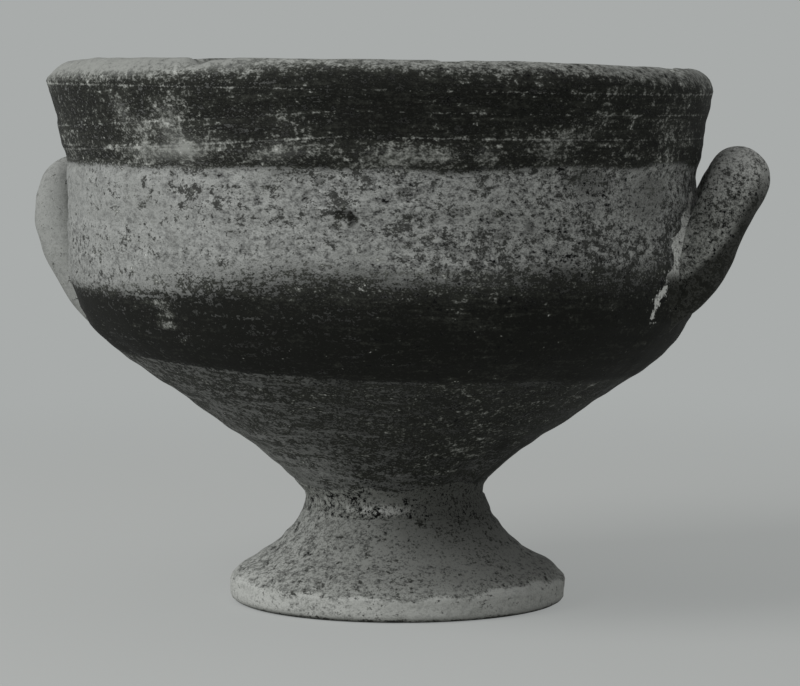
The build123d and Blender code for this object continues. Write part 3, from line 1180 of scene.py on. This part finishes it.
@dataclass
class ThrownFoot:
    """The thrown foot: a flaring cone, hollow below, with a rounded edge and a resting ring."""

    radius: float = 35.7
    edge_height: float = 4.7
    edge_rounding: float = 1.9
    shoulder: tuple[float, float] = (31.3, 8.5)
    shoulder_bow: float = 0.4
    height: float = 22.5
    stem_radius: float = 18.3
    flare_hollow: float = 1.8
    ring_width: float = 6.2
    hollow_depth: float = 15.5
    crown_radius: float = 4.5
    lean: float = 0.3
    joint_fade: float = 6.0
    out_of_round: float = 0.2
    round_within: float = 25.0
    plain_foot: float = 1.2
    plain_chips: float = 0.6
    wheel_rings: tuple[tuple[float, float, int], ...] = ((4.1, 0.09, 1), (2.3, 0.05, 0))
    lump_radius: float = 30.0
    lumps: tuple[tuple[float, float, int], ...] = ((12, 0.13, 21), (4, 0.08, 22))
    grit_cloud: tuple[float, float, int] = (9, 0.25, 24)
    worn_height: float = 5.2
    worn_wander: tuple[float, float, int] = (8, 0.7, 23)
    worn_radius: float = 35.0
    front_side: tuple[float, float, float, float] = (-70, -20, 100, 150)
    painted_light_side: tuple[float, float, float, float] = (-170, -120, -60, 0)
    edge_rows: int = 12
    spacing: float = 0.7
    columns: int = 300
    stance: Stance = field(default_factory=Stance)
    chips: tuple[Patch, ...] = (
        Patch(-26.0, 1.6, 1.4, 0.9, 0.7),
        Patch(-20.0, 1.2, 1.0, 0.7, 0.5),
        Patch(33.0, 1.4, 1.8, 0.8, 0.5),
        Patch(8.0, 0.9, 1.2, 0.7, 0.4),
        Patch(150.0, 1.6, 2.4, 1.2, 0.9),
        Patch(-110.0, 1.6, 2.0, 1.0, 0.7),
    )

    def outline(self) -> np.ndarray:
        """Outline from the crown of the hollow, under the ring, up the flare to the joint."""
        ring_outer = self.radius - self.edge_rounding
        ring_inner = ring_outer - self.ring_width
        stretches = [
            straight((0, self.hollow_depth), (self.crown_radius, self.hollow_depth)),
            straight((self.crown_radius, self.hollow_depth), (ring_inner, 0)),
            straight((ring_inner, 0), (ring_outer, 0)),
            arc((ring_outer, 0), (1, 0), (self.radius, self.edge_rounding)),
            straight((self.radius, self.edge_rounding), (self.radius, self.edge_height)),
            self.flare(),
            straight((self.stem_radius, self.height), (0, self.height)),
        ]
        return joined(stretches)

    def flare(self) -> np.ndarray:
        """From the edge up to the stem: a shoulder that is bowed outwards, then a hollow arc."""
        return joined([
            bowed((self.radius, self.edge_height), self.shoulder, -self.shoulder_bow),
            bowed(self.shoulder, (self.stem_radius, self.height), self.flare_hollow),
        ])

    def radius_at(self, height: np.ndarray) -> np.ndarray:
        """Radius of the flare at a height."""
        flare = self.flare()
        return np.interp(height, flare[:, 1], flare[:, 0])

    def build(self) -> bpy.types.Object:
        """Make the foot's mesh with its marks.

        The outline is carried round the axis with wheel rings and soft unevenness along its
        normal. x then loses the lean's share of the height, the top falls with the joint, and
        the whole foot moves to its own middle.

        Returns:
            The foot's object.
        """
        outline = walk(self.outline(), self.spacing)[1:-1]
        normal = normals(outline)
        bearing = all_round(self.columns)
        turn = np.radians(bearing)
        radius, height = outline[:, :1], outline[:, 1:]
        relief = spiral_rings(turn, height, self.wheel_rings)
        relief = relief + lumpiness(turn, height, self.lump_radius, *self.lumps)
        chip = gathered(self.chips, bearing, height, self.radius)
        stand_off = relief * smooth_step(0.0, self.plain_foot, height)
        stand_off = stand_off - chip * smooth_step(0.0, self.plain_chips, height)
        oval = self.out_of_round * np.sin(2 * turn) * (radius > self.round_within)
        full_height = height + stand_off * normal[:, 1:]
        points = round_axis(turn, radius + stand_off * normal[:, :1] + oval, full_height)
        points[..., 0] -= self.lean * full_height / self.height
        fall = np.tan(np.radians(self.stance.fall_angle)) * (points[..., 0] + self.stance.shift)
        fall = fall * smooth_step(self.height - self.joint_fade, self.height, full_height)
        points[..., 2] = np.maximum(full_height - fall, 0)

        rows = len(outline)
        poles = np.array([(0, 0, self.hollow_depth), (0, 0, self.height)])
        points = np.concatenate([points.reshape(-1, 3), poles]) + (self.stance.foot_middle, 0, 0)
        triangles = np.concatenate([
            fan(0, self.columns, rows * self.columns, outwards=False),
            fan((rows - 1) * self.columns, self.columns, rows * self.columns + 1, outwards=True),
        ])
        outer = np.arange(rows)[:, None] > np.argmax(outline[:, 0]) - self.edge_rows
        marks = self.marks(bearing, height, full_height, outer)
        marks = {name: np.r_[values.ravel(), 0, 0] for name, values in marks.items()}
        marks["thrown"] = points
        return make_piece("foot_surface", points, grid_quads(rows, self.columns), triangles, marks)

    def marks(
        self, bearing: np.ndarray, height: np.ndarray, full_height: np.ndarray, outer: np.ndarray
    ) -> dict[str, np.ndarray]:
        """Work out the foot's marks at each vertex.

        pale is painted light on the side that faces the key lamp, plus the worn edge's light clay,
        which is paler towards the shaded side as painted light there. specks is how densely dark
        grit shows, which is less on both, so the lit side is lighter still. The dark mark is painted
        shade on the side away from the lamp, and the front a little, the more the higher up the
        flare under the bowl, and a painted contact shadow on the clay just over the floor.

        Args:
            bearing: Bearings of the grid, in degrees.
            height: Heights of the outline.
            full_height: Heights of the grid with its relief.
            outer: Whether each row shows from outside.

        Returns:
            Mark name to its grid of numbers.
        """
        turn = np.radians(bearing)
        edge = self.worn_height + lumpiness(turn, height, self.worn_radius, self.worn_wander)
        worn_edge = smooth_step(0.9, -0.6, full_height - edge) * outer
        shaded = sector(bearing, PAINTED_SHADE_SIDE)
        # Painted light: the side that faces the key lamp is made paler
        light = 0.3 * sector(bearing, self.painted_light_side)
        # Painted shade: darker away from the lamp, a little on the front, and more up the flare under
        # the bowl
        painted_shade = np.maximum(shaded, 0.12 * sector(bearing, self.front_side))
        painted_shade = painted_shade * (0.26 * smooth_step(5, 8, height) + 0.34 * smooth_step(9, 20, height))
        gritty = 0.35 + lumpiness(turn, height, self.lump_radius, self.grit_cloud)
        return {
            # The worn edge is paler towards the shaded side, painted light that lifts the shade there
            "pale": 0.05 + light + worn_edge * (0.5 + 0.7 * shaded),
            # Less grit on the lit side adds to its painted light
            "specks": gritty - 0.5 * worn_edge - light,
            # Painted shade, and a painted contact shadow just over the floor
            "dark_and_painted_shade": painted_shade + 0.9 * smooth_step(1.4, 0.2, full_height) * outer,
        }


@dataclass
class StemRing:
    """The roll of luting clay that was smoothed into the crease between bowl and foot."""

    bowl: ThrownBowl
    foot: ThrownFoot
    half_height: float = 3.6
    middle: float = -0.8
    crease_radius: float = 18.5
    crease_softness: float = 0.5
    skin: float = 0.3
    edge_sink: float = 0.35
    depth: float = 2.2
    shade: float = 0.52
    raggedness: tuple[float, float, int] = (5, 0.16, 31)
    lumps: tuple[float, float, int] = (3, 0.1, 32)
    lump_radius: float = 18.0
    columns: int = 220
    rows: int = 22

    def build(self) -> bpy.types.Object:
        """Make the ring's mesh with its marks.

        Outside, the radius is the larger of the clay under it and the filled crease, rounded
        where they meet, plus a skin that thins to nothing at both edges and sinks there. Inside,
        it goes straight back down in the clay.

        Returns:
            The ring's object.
        """
        stance = self.bowl.stance
        bearing = all_round(self.columns)
        turn = np.radians(bearing)
        rise = np.linspace(-1, 1, self.rows)[:, None]
        ragged = 1 + lumpiness(turn, 0 * rise, self.lump_radius, self.raggedness)
        level = rise * self.half_height * ragged
        height = self.foot.height + level
        fall = np.tan(np.radians(stance.fall_angle)) * self.crease_radius * np.sin(turn)
        over_bowl = self.bowl.radius_at(height + fall) - (stance.shift + self.middle) * np.sin(turn)
        foot_middle = -self.foot.lean * height / self.foot.height
        over_foot = self.foot.radius_at(height) + (foot_middle - self.middle) * np.sin(turn)
        clay = np.where(level > 0, over_bowl, over_foot)
        filled = np.hypot(clay - self.crease_radius, self.crease_softness)
        filled = (filled + clay + self.crease_radius) / 2
        skin = self.skin + lumpiness(turn, height, self.lump_radius, self.lumps)
        outer = filled + skin * (1 - rise**4) - self.edge_sink * rise**8
        radius = np.concatenate([outer, (outer - self.depth)[::-1]])
        height = np.concatenate([height, height[::-1]])
        points = round_axis(turn, radius, height) + (self.middle + stance.foot_middle, 0, 0)
        points = points.reshape(-1, 3)
        front = Patch(0, self.foot.height - 1.4, 6.0, 1.1, 0.5)
        marks = {
            "pale": (0.1 + front.spread(bearing, height, self.crease_radius)).ravel(),
            "specks": np.full(len(points), 0.1),
            # The dark mark is painted shade on the side away from the key lamp
            "dark_and_painted_shade": (self.shade * sector(bearing, PAINTED_SHADE_SIDE) + 0 * radius).ravel(),
            "thrown": points,
        }
        quads = grid_quads(len(radius), self.columns, closed_rows=True)
        return make_piece("stem_ring_surface", points, quads, None, marks)


@dataclass
class LoopHandle:
    """A rolled bar of clay bent to a loop, thicker at its crown than at its roots.

    It is worked out upright, in the X direction, then turned to its azimuth and set on the bowl.
    """

    name: str
    bowl: ThrownBowl
    azimuth: float
    root_radius: float
    crown_radius: float
    loop_radius: float
    loop_angle: float
    leg: float
    root_rise: float
    root_angle: float
    elbow_radius: float
    seed: int
    pale_top: float
    speck_share: float
    dark_and_painted_shade_share: float
    root_run: float = 3.0
    swelling: float = 0.8
    lump_radius: float = 6.0
    bury_depth: float = 2.2
    darkened_heights: tuple[float, float] = (82.0, 66.0)
    wall_light: tuple[float, float] = (70.0, 77.0)
    step: float = 0.45
    columns: int = 80

    def path(self) -> np.ndarray:
        """Middle line of the bar from root to root, in even steps.

        Each half is a straight run inside the wall, an elbow that starts level and climbs to
        the loop's angle, and a short leg. The crown is a half circle between the two legs.

        Returns:
            Array of (x, y, z) points.
        """
        angle, root_angle = np.radians(self.loop_angle), np.radians(self.root_angle)
        climb = np.array([np.cos(angle), 0, np.sin(angle)])
        halves = []
        outwards = np.sqrt(self.bowl.wall[0] ** 2 - self.loop_radius**2)
        root_height = self.bowl.shoulder[1] + self.root_rise
        climbing = np.linspace(0, angle, 60)
        forward = np.sin(climbing) - np.sin(root_angle)
        upward = np.cos(root_angle) - np.cos(climbing)
        bend = self.elbow_radius * np.stack([forward, 0 * climbing, upward], -1)
        for side in (1, -1):
            elbow = np.array([outwards, side * self.loop_radius, root_height]) + bend
            run = np.linspace(elbow[0] - (self.root_run, 0, 0), elbow[0], 12)[:-1]
            leg = np.linspace(elbow[-1], elbow[-1] + climb * self.leg, 4)[1:]
            halves.append(np.concatenate([run, elbow, leg]))
        middle = (halves[0][-1] + halves[1][-1]) / 2
        half_turn = np.linspace(0, np.pi, 160)[1:-1, None]
        crown = middle + self.loop_radius * (
            np.cos(half_turn) * np.array([0, 1, 0]) + np.sin(half_turn) * climb
        )
        points = np.concatenate([halves[0], crown, halves[1][::-1]])
        lengths = np.r_[0, np.cumsum(np.linalg.norm(np.diff(points, axis=0), axis=1))]
        places = np.linspace(0, lengths[-1], int(lengths[-1] / self.step))
        return np.stack([np.interp(places, lengths, points[:, axis]) for axis in range(3)], -1)

    def around(self) -> np.ndarray:
        """Angles round the bar, in radians, one for each column of its skin."""
        return np.linspace(0, FULL_TURN, self.columns, endpoint=False)

    def surface(self) -> tuple[np.ndarray, np.ndarray]:
        """The bar's skin before it is cut off by the wall.

        A circle is carried along the path. Its radius grows from root to crown with the sine of
        the share of the way, raised to the swelling, and stands off by soft unevenness. The
        circle's first direction is the loop plane's normal, less its part along the path.

        Returns:
            The skin, (rows, columns, 3), and the path.
        """
        path = self.path()
        share = np.linspace(0, 1, len(path))[:, None]
        around = self.around()[None, :]
        tangent = unit(np.gradient(path, axis=0))
        angle = np.radians(self.loop_angle)
        plane_normal = np.array([-np.sin(angle), 0, np.cos(angle)])
        first = unit(plane_normal - (tangent @ plane_normal)[:, None] * tangent)
        second = np.cross(tangent, first)
        length = share * len(path) * self.step
        radius = between((self.root_radius, self.crown_radius), np.sin(np.pi * share) ** self.swelling)
        kinds = (11, 0.28, self.seed), (4, 0.1, self.seed + 1)
        radius = radius + lumpiness(around, length, self.lump_radius, *kinds)
        spokes = np.cos(around)[..., None] * first[:, None]
        spokes = spokes + np.sin(around)[..., None] * second[:, None]
        return path[:, None] + radius[..., None] * spokes, path

    def outside_by(self, skin: np.ndarray) -> np.ndarray:
        """How far points stand outside the bowl's wall, measured level, from its axis."""
        return off_axis(skin) - self.bowl.radius_at(skin[..., 2])

    def bury(self, skin: np.ndarray) -> np.ndarray:
        """Bring back what reaches through the wall, so that the bar ends inside the clay."""
        too_deep = np.minimum(self.outside_by(skin) + self.bury_depth, 0)
        return moved_level(skin, off_axis(skin) - too_deep)

    def set_on_bowl(self, points: np.ndarray) -> tuple[np.ndarray, np.ndarray]:
        """Turn upright points to the azimuth. Returns them in the bowl's frame and as placed."""
        azimuth = np.radians(self.azimuth)
        turned = points.copy()
        turned[..., 0] = points[..., 0] * np.cos(azimuth) - points[..., 1] * np.sin(azimuth)
        turned[..., 1] = points[..., 0] * np.sin(azimuth) + points[..., 1] * np.cos(azimuth)
        return turned, self.bowl.stance.place(turned)

    def build(self) -> bpy.types.Object:
        """Make the handle's mesh with its marks, closed at both buried ends.

        pale is stronger towards the crown and where the bar nears the wall. specks thin out
        towards the crown. The dark mark is painted shade on the bar's underside, and darkens it
        all round low down.

        Returns:
            The handle's object.
        """
        skin, path = self.surface()
        shows = np.flatnonzero(self.outside_by(skin).max(1) > -self.bury_depth)
        kept = slice(max(shows[0] - 1, 0), shows[-1] + 2)
        skin, path = skin[kept], path[kept]
        rows = len(path)
        ends = self.bury(path[[0, -1]])
        points = np.concatenate([self.bury(skin).reshape(-1, 3), ends])
        turned, placed = self.set_on_bowl(points)
        count = rows * self.columns
        triangles = np.concatenate([
            fan(0, self.columns, count, outwards=False),
            fan((rows - 1) * self.columns, self.columns, count + 1, outwards=True),
        ])
        top = smooth_step(path[:, 2].max() - 9, path[:, 2].max() + 4, turned[:, 2])
        low = smooth_step(*self.darkened_heights, turned[:, 2])
        # Painted shade on the bar's downward side, and darker all round low down
        downward = np.r_[np.tile(-np.cos(self.around()), rows), 0, 0]
        under = smooth_step(0.3, 0.8, downward + 1.2 * low)
        by_wall = np.r_[self.outside_by(skin).ravel(), 9, 9]
        by_wall = smooth_step(4.5, 0.5, by_wall) * smooth_step(*self.wall_light, turned[:, 2])
        marks = {
            "pale": self.pale_top * np.maximum(top, 1.2 * by_wall) + 0.1,
            "specks": self.speck_share * (1 - 0.4 * top) + 0.2 * low,
            # The dark mark: painted shade under the bar, darker low down
            "dark_and_painted_shade": self.dark_and_painted_shade_share * under * (1 - 0.8 * top) * (1 - by_wall),
            "thrown": turned,
        }
        quads = grid_quads(rows, self.columns)
        return make_piece(f"{self.name}_surface", placed, quads, triangles, marks)


@dataclass
class RootLuting:
    """Wet clay wiped into the crease round one root of a handle, as a hollow fillet."""

    handle: LoopHandle
    side: Side
    along_bar: float = 3.2
    along_wall: float = 3.4
    sweep_down: float = 2.2
    sweep_front: float = 0.0
    crotch_fill: float = 2.0
    pale: float = 0.15
    sunk: float = 0.15
    body_depth: float = 1.1
    darkened_heights: tuple[float, float] = (75.0, 69.0)
    bar_wander: tuple[float, float, int] = (3, 0.25, 41)
    wall_wander: tuple[float, float, int] = (2.5, 0.22, 42)
    lumps: tuple[float, float, int] = (3, 0.16, 43)
    lump_radius: float = 6.0
    outer_rows: int = 16
    inner_rows: int = 4

    def crease(self, skin: np.ndarray) -> tuple[np.ndarray, np.ndarray]:
        """Where each line along the bar leaves the wall, and the point further up it.

        Args:
            skin: The bar's skin, with its rows from this root outwards.

        Returns:
            The crease, and the points on the bar that the clay reaches up to.
        """
        half = len(skin) // 2
        inside = self.handle.outside_by(skin[:half]) < 0
        row = half - 1 - np.argmax(inside[::-1], axis=0)
        column = np.arange(skin.shape[1])
        before = -self.handle.outside_by(skin[row, column])
        after = self.handle.outside_by(skin[row + 1, column])
        share = (before / (before + after))[:, None]
        crease = skin[row, column] * (1 - share) + skin[row + 1, column] * share
        turn = self.handle.around()
        ragged = 1 + lumpiness(turn, 0 * turn, self.lump_radius, self.bar_wander)
        lift = crease[:, 2] - crease[:, 2].mean()
        upper = np.clip(lift / lift.max(), 0, 1)
        steps = (self.along_bar + self.crotch_fill * upper) * ragged / self.handle.step
        reach = row + 1 + steps
        whole = np.floor(reach).astype(int)
        part = (reach - whole)[:, None]
        return crease, skin[whole, column] * (1 - part) + skin[whole + 1, column] * part

    def wall_edge(self, crease: np.ndarray, wall_normal: np.ndarray) -> np.ndarray:
        """Where the fillet ends on the wall, a little under its skin.

        Each point lies away from the middle of the root, further downwards, to the front, and up
        in the crotch of bar and wall.

        Args:
            crease: Where each line along the bar leaves the wall.
            wall_normal: The wall's level normal there.

        Returns:
            One point for each point of the crease.
        """
        spread = crease - crease.mean(0)
        spread = unit(spread - (spread * wall_normal).sum(1)[:, None] * wall_normal)
        azimuth = np.radians(self.handle.azimuth)
        frontward = -spread[:, 0] * np.sin(azimuth) - spread[:, 1] * np.cos(azimuth)
        reach = self.along_wall + self.sweep_down * np.maximum(-spread[:, 2], 0)
        reach = reach + self.sweep_front * np.maximum(frontward, 0)
        reach = reach + self.crotch_fill * np.maximum(spread[:, 2], 0)
        turn = self.handle.around()
        ragged = 1 + lumpiness(turn, 0 * turn, self.lump_radius, self.wall_wander)
        on_wall = crease + spread * (reach * ragged)[:, None]
        return moved_level(on_wall, self.handle.bowl.radius_at(on_wall[:, 2]) - self.sunk)

    def build(self) -> bpy.types.Object:
        """Make the fillet's mesh with its marks.

        Each column is a curve from the bar to the wall that the crease pulls inwards, with soft
        lumps on it, and a second one that comes back under the surface.

        Returns:
            The fillet's object.
        """
        skin, path = self.handle.surface()
        first_side = Side.BACK if self.handle.azimuth < 90 else Side.FRONT
        from_first_root = self.side == first_side
        if not from_first_root:
            skin, path = skin[::-1], path[::-1]
        crease, on_bar = self.crease(skin)
        wall_normal = unit(crease * (1, 1, 0))
        on_wall = self.wall_edge(crease, wall_normal)
        nearest = np.argmin(np.linalg.norm(path[None] - on_bar[:, None], axis=2), axis=1)
        to_axis = unit(path[nearest] - on_bar)
        on_bar = on_bar + to_axis * self.sunk

        share = np.linspace(0, 1, self.outer_rows)[:, None]
        rise = self.lump_radius * share
        lumps = lumpiness(self.handle.around()[None, :], rise, self.lump_radius, self.lumps)
        bulge = (lumps * np.sin(np.pi * share))[..., None] * unit(wall_normal - to_axis)
        outer = curve(on_bar, crease, on_wall, share[..., None]) + bulge
        into_bar, into_wall = to_axis * self.body_depth, -wall_normal * self.body_depth
        deep_crease = crease + into_bar + into_wall
        share = np.linspace(0, 1, self.inner_rows + 2)[1:-1, None, None]
        inner = curve(on_wall + into_wall, deep_crease, on_bar + into_bar, share)
        points = np.concatenate([outer, inner])
        turned, placed = self.handle.set_on_bowl(points.reshape(-1, 3))
        quads = grid_quads(len(points), len(crease), closed_rows=True)
        if from_first_root:
            quads = quads[:, ::-1]
        low = smooth_step(*self.darkened_heights, turned[:, 2])
        marks = {
            "pale": self.pale * (1 - low),
            "specks": np.full(len(turned), 0.3),
            # The dark mark only darkens the fillet low down
            "dark_and_painted_shade": self.handle.dark_and_painted_shade_share * low,
            "thrown": turned,
        }
        name = f"{self.handle.name}_{self.side.name.lower()}_luting_surface"
        return make_piece(name, placed, quads, None, marks)


@dataclass
class Studio:
    """The camera at the photograph's angle, soft light from the upper left, and a pale floor."""

    aim: tuple[float, float, float] = (1.9, 0.0, 54.65)
    distance: float = 730.0
    camera_bearing: float = 5.8
    camera_rise: float = 4.6
    picture_pixels: int = 800
    pixel: float = 0.2128
    sensor: float = 36.0
    key_bearing: float = -52.0
    key_rise: float = 40.0
    key_distance: float = 900.0
    key_size: float = 500.0
    key_power: float = 5.5
    fill: float = 0.35
    backdrop: str = "#A9ACAB"
    floor_clay: str = "#C4C5C2"
    floor_radius: float = 6000.0
    floor_lit_radius: float = 160.0
    floor_backdrop_share: float = 0.65
    floor_inner_share: float = 0.02
    floor_rings: int = 40
    floor_columns: int = 96

    def towards(self, bearing: float, rise: float, distance: float) -> Vector:
        """Point at a bearing, a rise in degrees and a distance from the aim, in metres."""
        turn, lift = np.radians([bearing, rise])
        way = np.array([np.sin(turn) * np.cos(lift), -np.cos(turn) * np.cos(lift), np.sin(lift)])
        return Vector((np.array(self.aim) + distance * way) * MM)

    def look_at_aim(self, thing: bpy.types.Object, place: Vector) -> None:
        """Put a camera or lamp at a place and turn it to the aim."""
        thing.location = place
        away = place - Vector(self.aim) * MM
        thing.rotation_euler = away.to_track_quat("Z", "Y").to_euler()
        bpy.context.scene.collection.objects.link(thing)

    def set_camera(self) -> None:
        """Add the camera. Its lens is the sensor times the distance over the view's width.

        That width is the picture's pixels times the millimetres that a pixel shows at the cup.
        """
        camera = bpy.data.cameras.new("camera")
        camera.sensor_width = self.sensor
        camera.lens = self.sensor * self.distance / (self.picture_pixels * self.pixel)
        eye = bpy.data.objects.new("camera", camera)
        self.look_at_aim(eye, self.towards(self.camera_bearing, self.camera_rise, self.distance))
        bpy.context.scene.camera = eye

    def light(self) -> None:
        """Add the soft key lamp, and a world that fills and that shows as the backdrop."""
        lamp = bpy.data.lights.new("key", "AREA")
        lamp.energy = self.key_power
        lamp.size = self.key_size * MM
        key = bpy.data.objects.new("key", lamp)
        self.look_at_aim(key, self.towards(self.key_bearing, self.key_rise, self.key_distance))

        world = bpy.data.worlds.new("soft_room")
        bpy.context.scene.world = world
        world.use_nodes = True
        tree = world.node_tree
        tree.nodes.clear()
        fill = add_node(tree, "Background", {"Color": linear("#FFFFFF"), "Strength": self.fill})
        shown = add_node(tree, "Background", {"Color": linear(self.backdrop), "Strength": 1.0})
        mixed = add_node(tree, "MixShader", {0: self.seen(tree), 1: fill, 2: shown})
        add_node(tree, "OutputWorld", {"Surface": mixed})

    def seen(self, tree: bpy.types.NodeTree) -> bpy.types.NodeSocket:
        """Add nodes that give 1 to camera, glossy and transmission rays, and 0 to others."""
        camera = add_node(tree, "LightPath", output="Is Camera Ray")
        glossy = add_node(tree, "LightPath", output="Is Glossy Ray")
        through = add_node(tree, "LightPath", output="Is Transmission Ray")
        either = add_node(tree, "Math", {0: camera, 1: glossy}, operation="MAXIMUM")
        return add_node(tree, "Math", {0: either, 1: through}, operation="MAXIMUM")

    def lay_floor(self) -> None:
        """Lay a round floor at height 0, lit near the cup and blending to the backdrop's colour.

        Ring i of vertices has a radius that grows with the square of its share of the way.
        """
        rings, columns = self.floor_rings, self.floor_columns
        turn = np.radians(all_round(columns))
        radius = self.floor_radius * np.linspace(1, self.floor_inner_share, rings)[:, None] ** 2
        points = round_axis(turn, radius, np.zeros_like(radius)).reshape(-1, 3)
        points = np.concatenate([points, np.zeros((1, 3))])
        triangles = fan((rings - 1) * columns, columns, rings * columns, outwards=True)
        floor = make_piece("floor", points, grid_quads(rings, columns), triangles, {})
        material, tree = new_material("pale_matt_card")
        place = add_node(tree, "TexCoord", output="Object")
        away = add_node(tree, "VectorMath", {0: place}, output="Value", operation="LENGTH")
        lit = self.floor_lit_radius * MM
        ramp = {"Value": away, "From Min": lit, "From Max": 3 * lit}
        ramp = {**ramp, "To Min": self.floor_backdrop_share}
        far = add_node(tree, "MapRange", ramp, interpolation_type="SMOOTHSTEP")
        share = add_node(tree, "Math", {0: far, 1: self.seen(tree)}, operation="MULTIPLY")
        card = add_node(tree, "BsdfDiffuse", {"Color": linear(self.floor_clay)})
        shown = add_node(tree, "Emission", {"Color": linear(self.backdrop), "Strength": 1.0})
        mixed = add_node(tree, "MixShader", {0: share, 1: card, 2: shown})
        add_node(tree, "OutputMaterial", {"Surface": mixed})
        floor.data.materials.append(material)


def main() -> None:
    """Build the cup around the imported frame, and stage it."""
    logging.basicConfig(level=logging.INFO, format="%(message)s")
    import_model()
    bpy.context.scene.view_settings.view_transform = "Standard"
    studio = Studio()
    studio.set_camera()
    studio.light()
    studio.lay_floor()

    bowl = ThrownBowl()
    dress(bowl.build(), BandedSlip().material(), "painted_clay", "bowl")
    foot = ThrownFoot()
    turned = (1.3, 1.3, 1.0)
    bare = FiredClay("bare_fired_clay_foot", body="#8A8C88", pale="#B2B4B0", drawn_out=turned)
    dress(foot.build(), bare.material(), "bare_clay", "foot")
    wiped = FiredClay("wiped_fired_clay_luting", body="#7A7C78", pale="#DADCD8", contrast=1.8)
    wiped = wiped.material()
    dress(StemRing(bowl, foot).build(), wiped, "luting_clay", "stem_luting_ring")

    rolled = (1.0, 2.4, 1.0)
    right = LoopHandle(
        "handle_right", bowl, azimuth=1.8, root_radius=3.6, crown_radius=6.4, loop_radius=21.7,
        loop_angle=63.3, leg=0.2, root_rise=5.9, root_angle=45.0, elbow_radius=14.5, seed=51,
        pale_top=0.6, speck_share=0.75, dark_and_painted_shade_share=0.8,
    )
    mottled = FiredClay(
        "fired_clay_handle_right", body="#888A86", pale="#BCBEBA", contrast=1.6, drawn_out=rolled
    )
    left = LoopHandle(
        "handle_left", bowl, azimuth=161.6, root_radius=5.0, crown_radius=4.5, loop_radius=18.9,
        loop_angle=62.4, leg=3.0, root_rise=4.6, root_angle=61.0, elbow_radius=20.0, seed=61,
        pale_top=0.2, speck_share=-0.4, dark_and_painted_shade_share=0.0,
    )
    even = FiredClay("fired_clay_handle_left", body="#8F918E", contrast=0.3, drawn_out=rolled)
    for handle, finish in ((right, mottled), (left, even)):
        dress(handle.build(), finish.material(), "handle_clay", handle.name)
        for side in Side:
            shown = handle is right and side is Side.FRONT
            fuller = {"sweep_front": 3.0, "crotch_fill": 4.0, "pale": 0.8} if shown else {}
            luting = RootLuting(handle, side, **fuller)
            dress(luting.build(), wiped, "luting_clay", f"{handle.name}_{side.name.lower()}_luting")


if __name__ == "__main__":
    main()
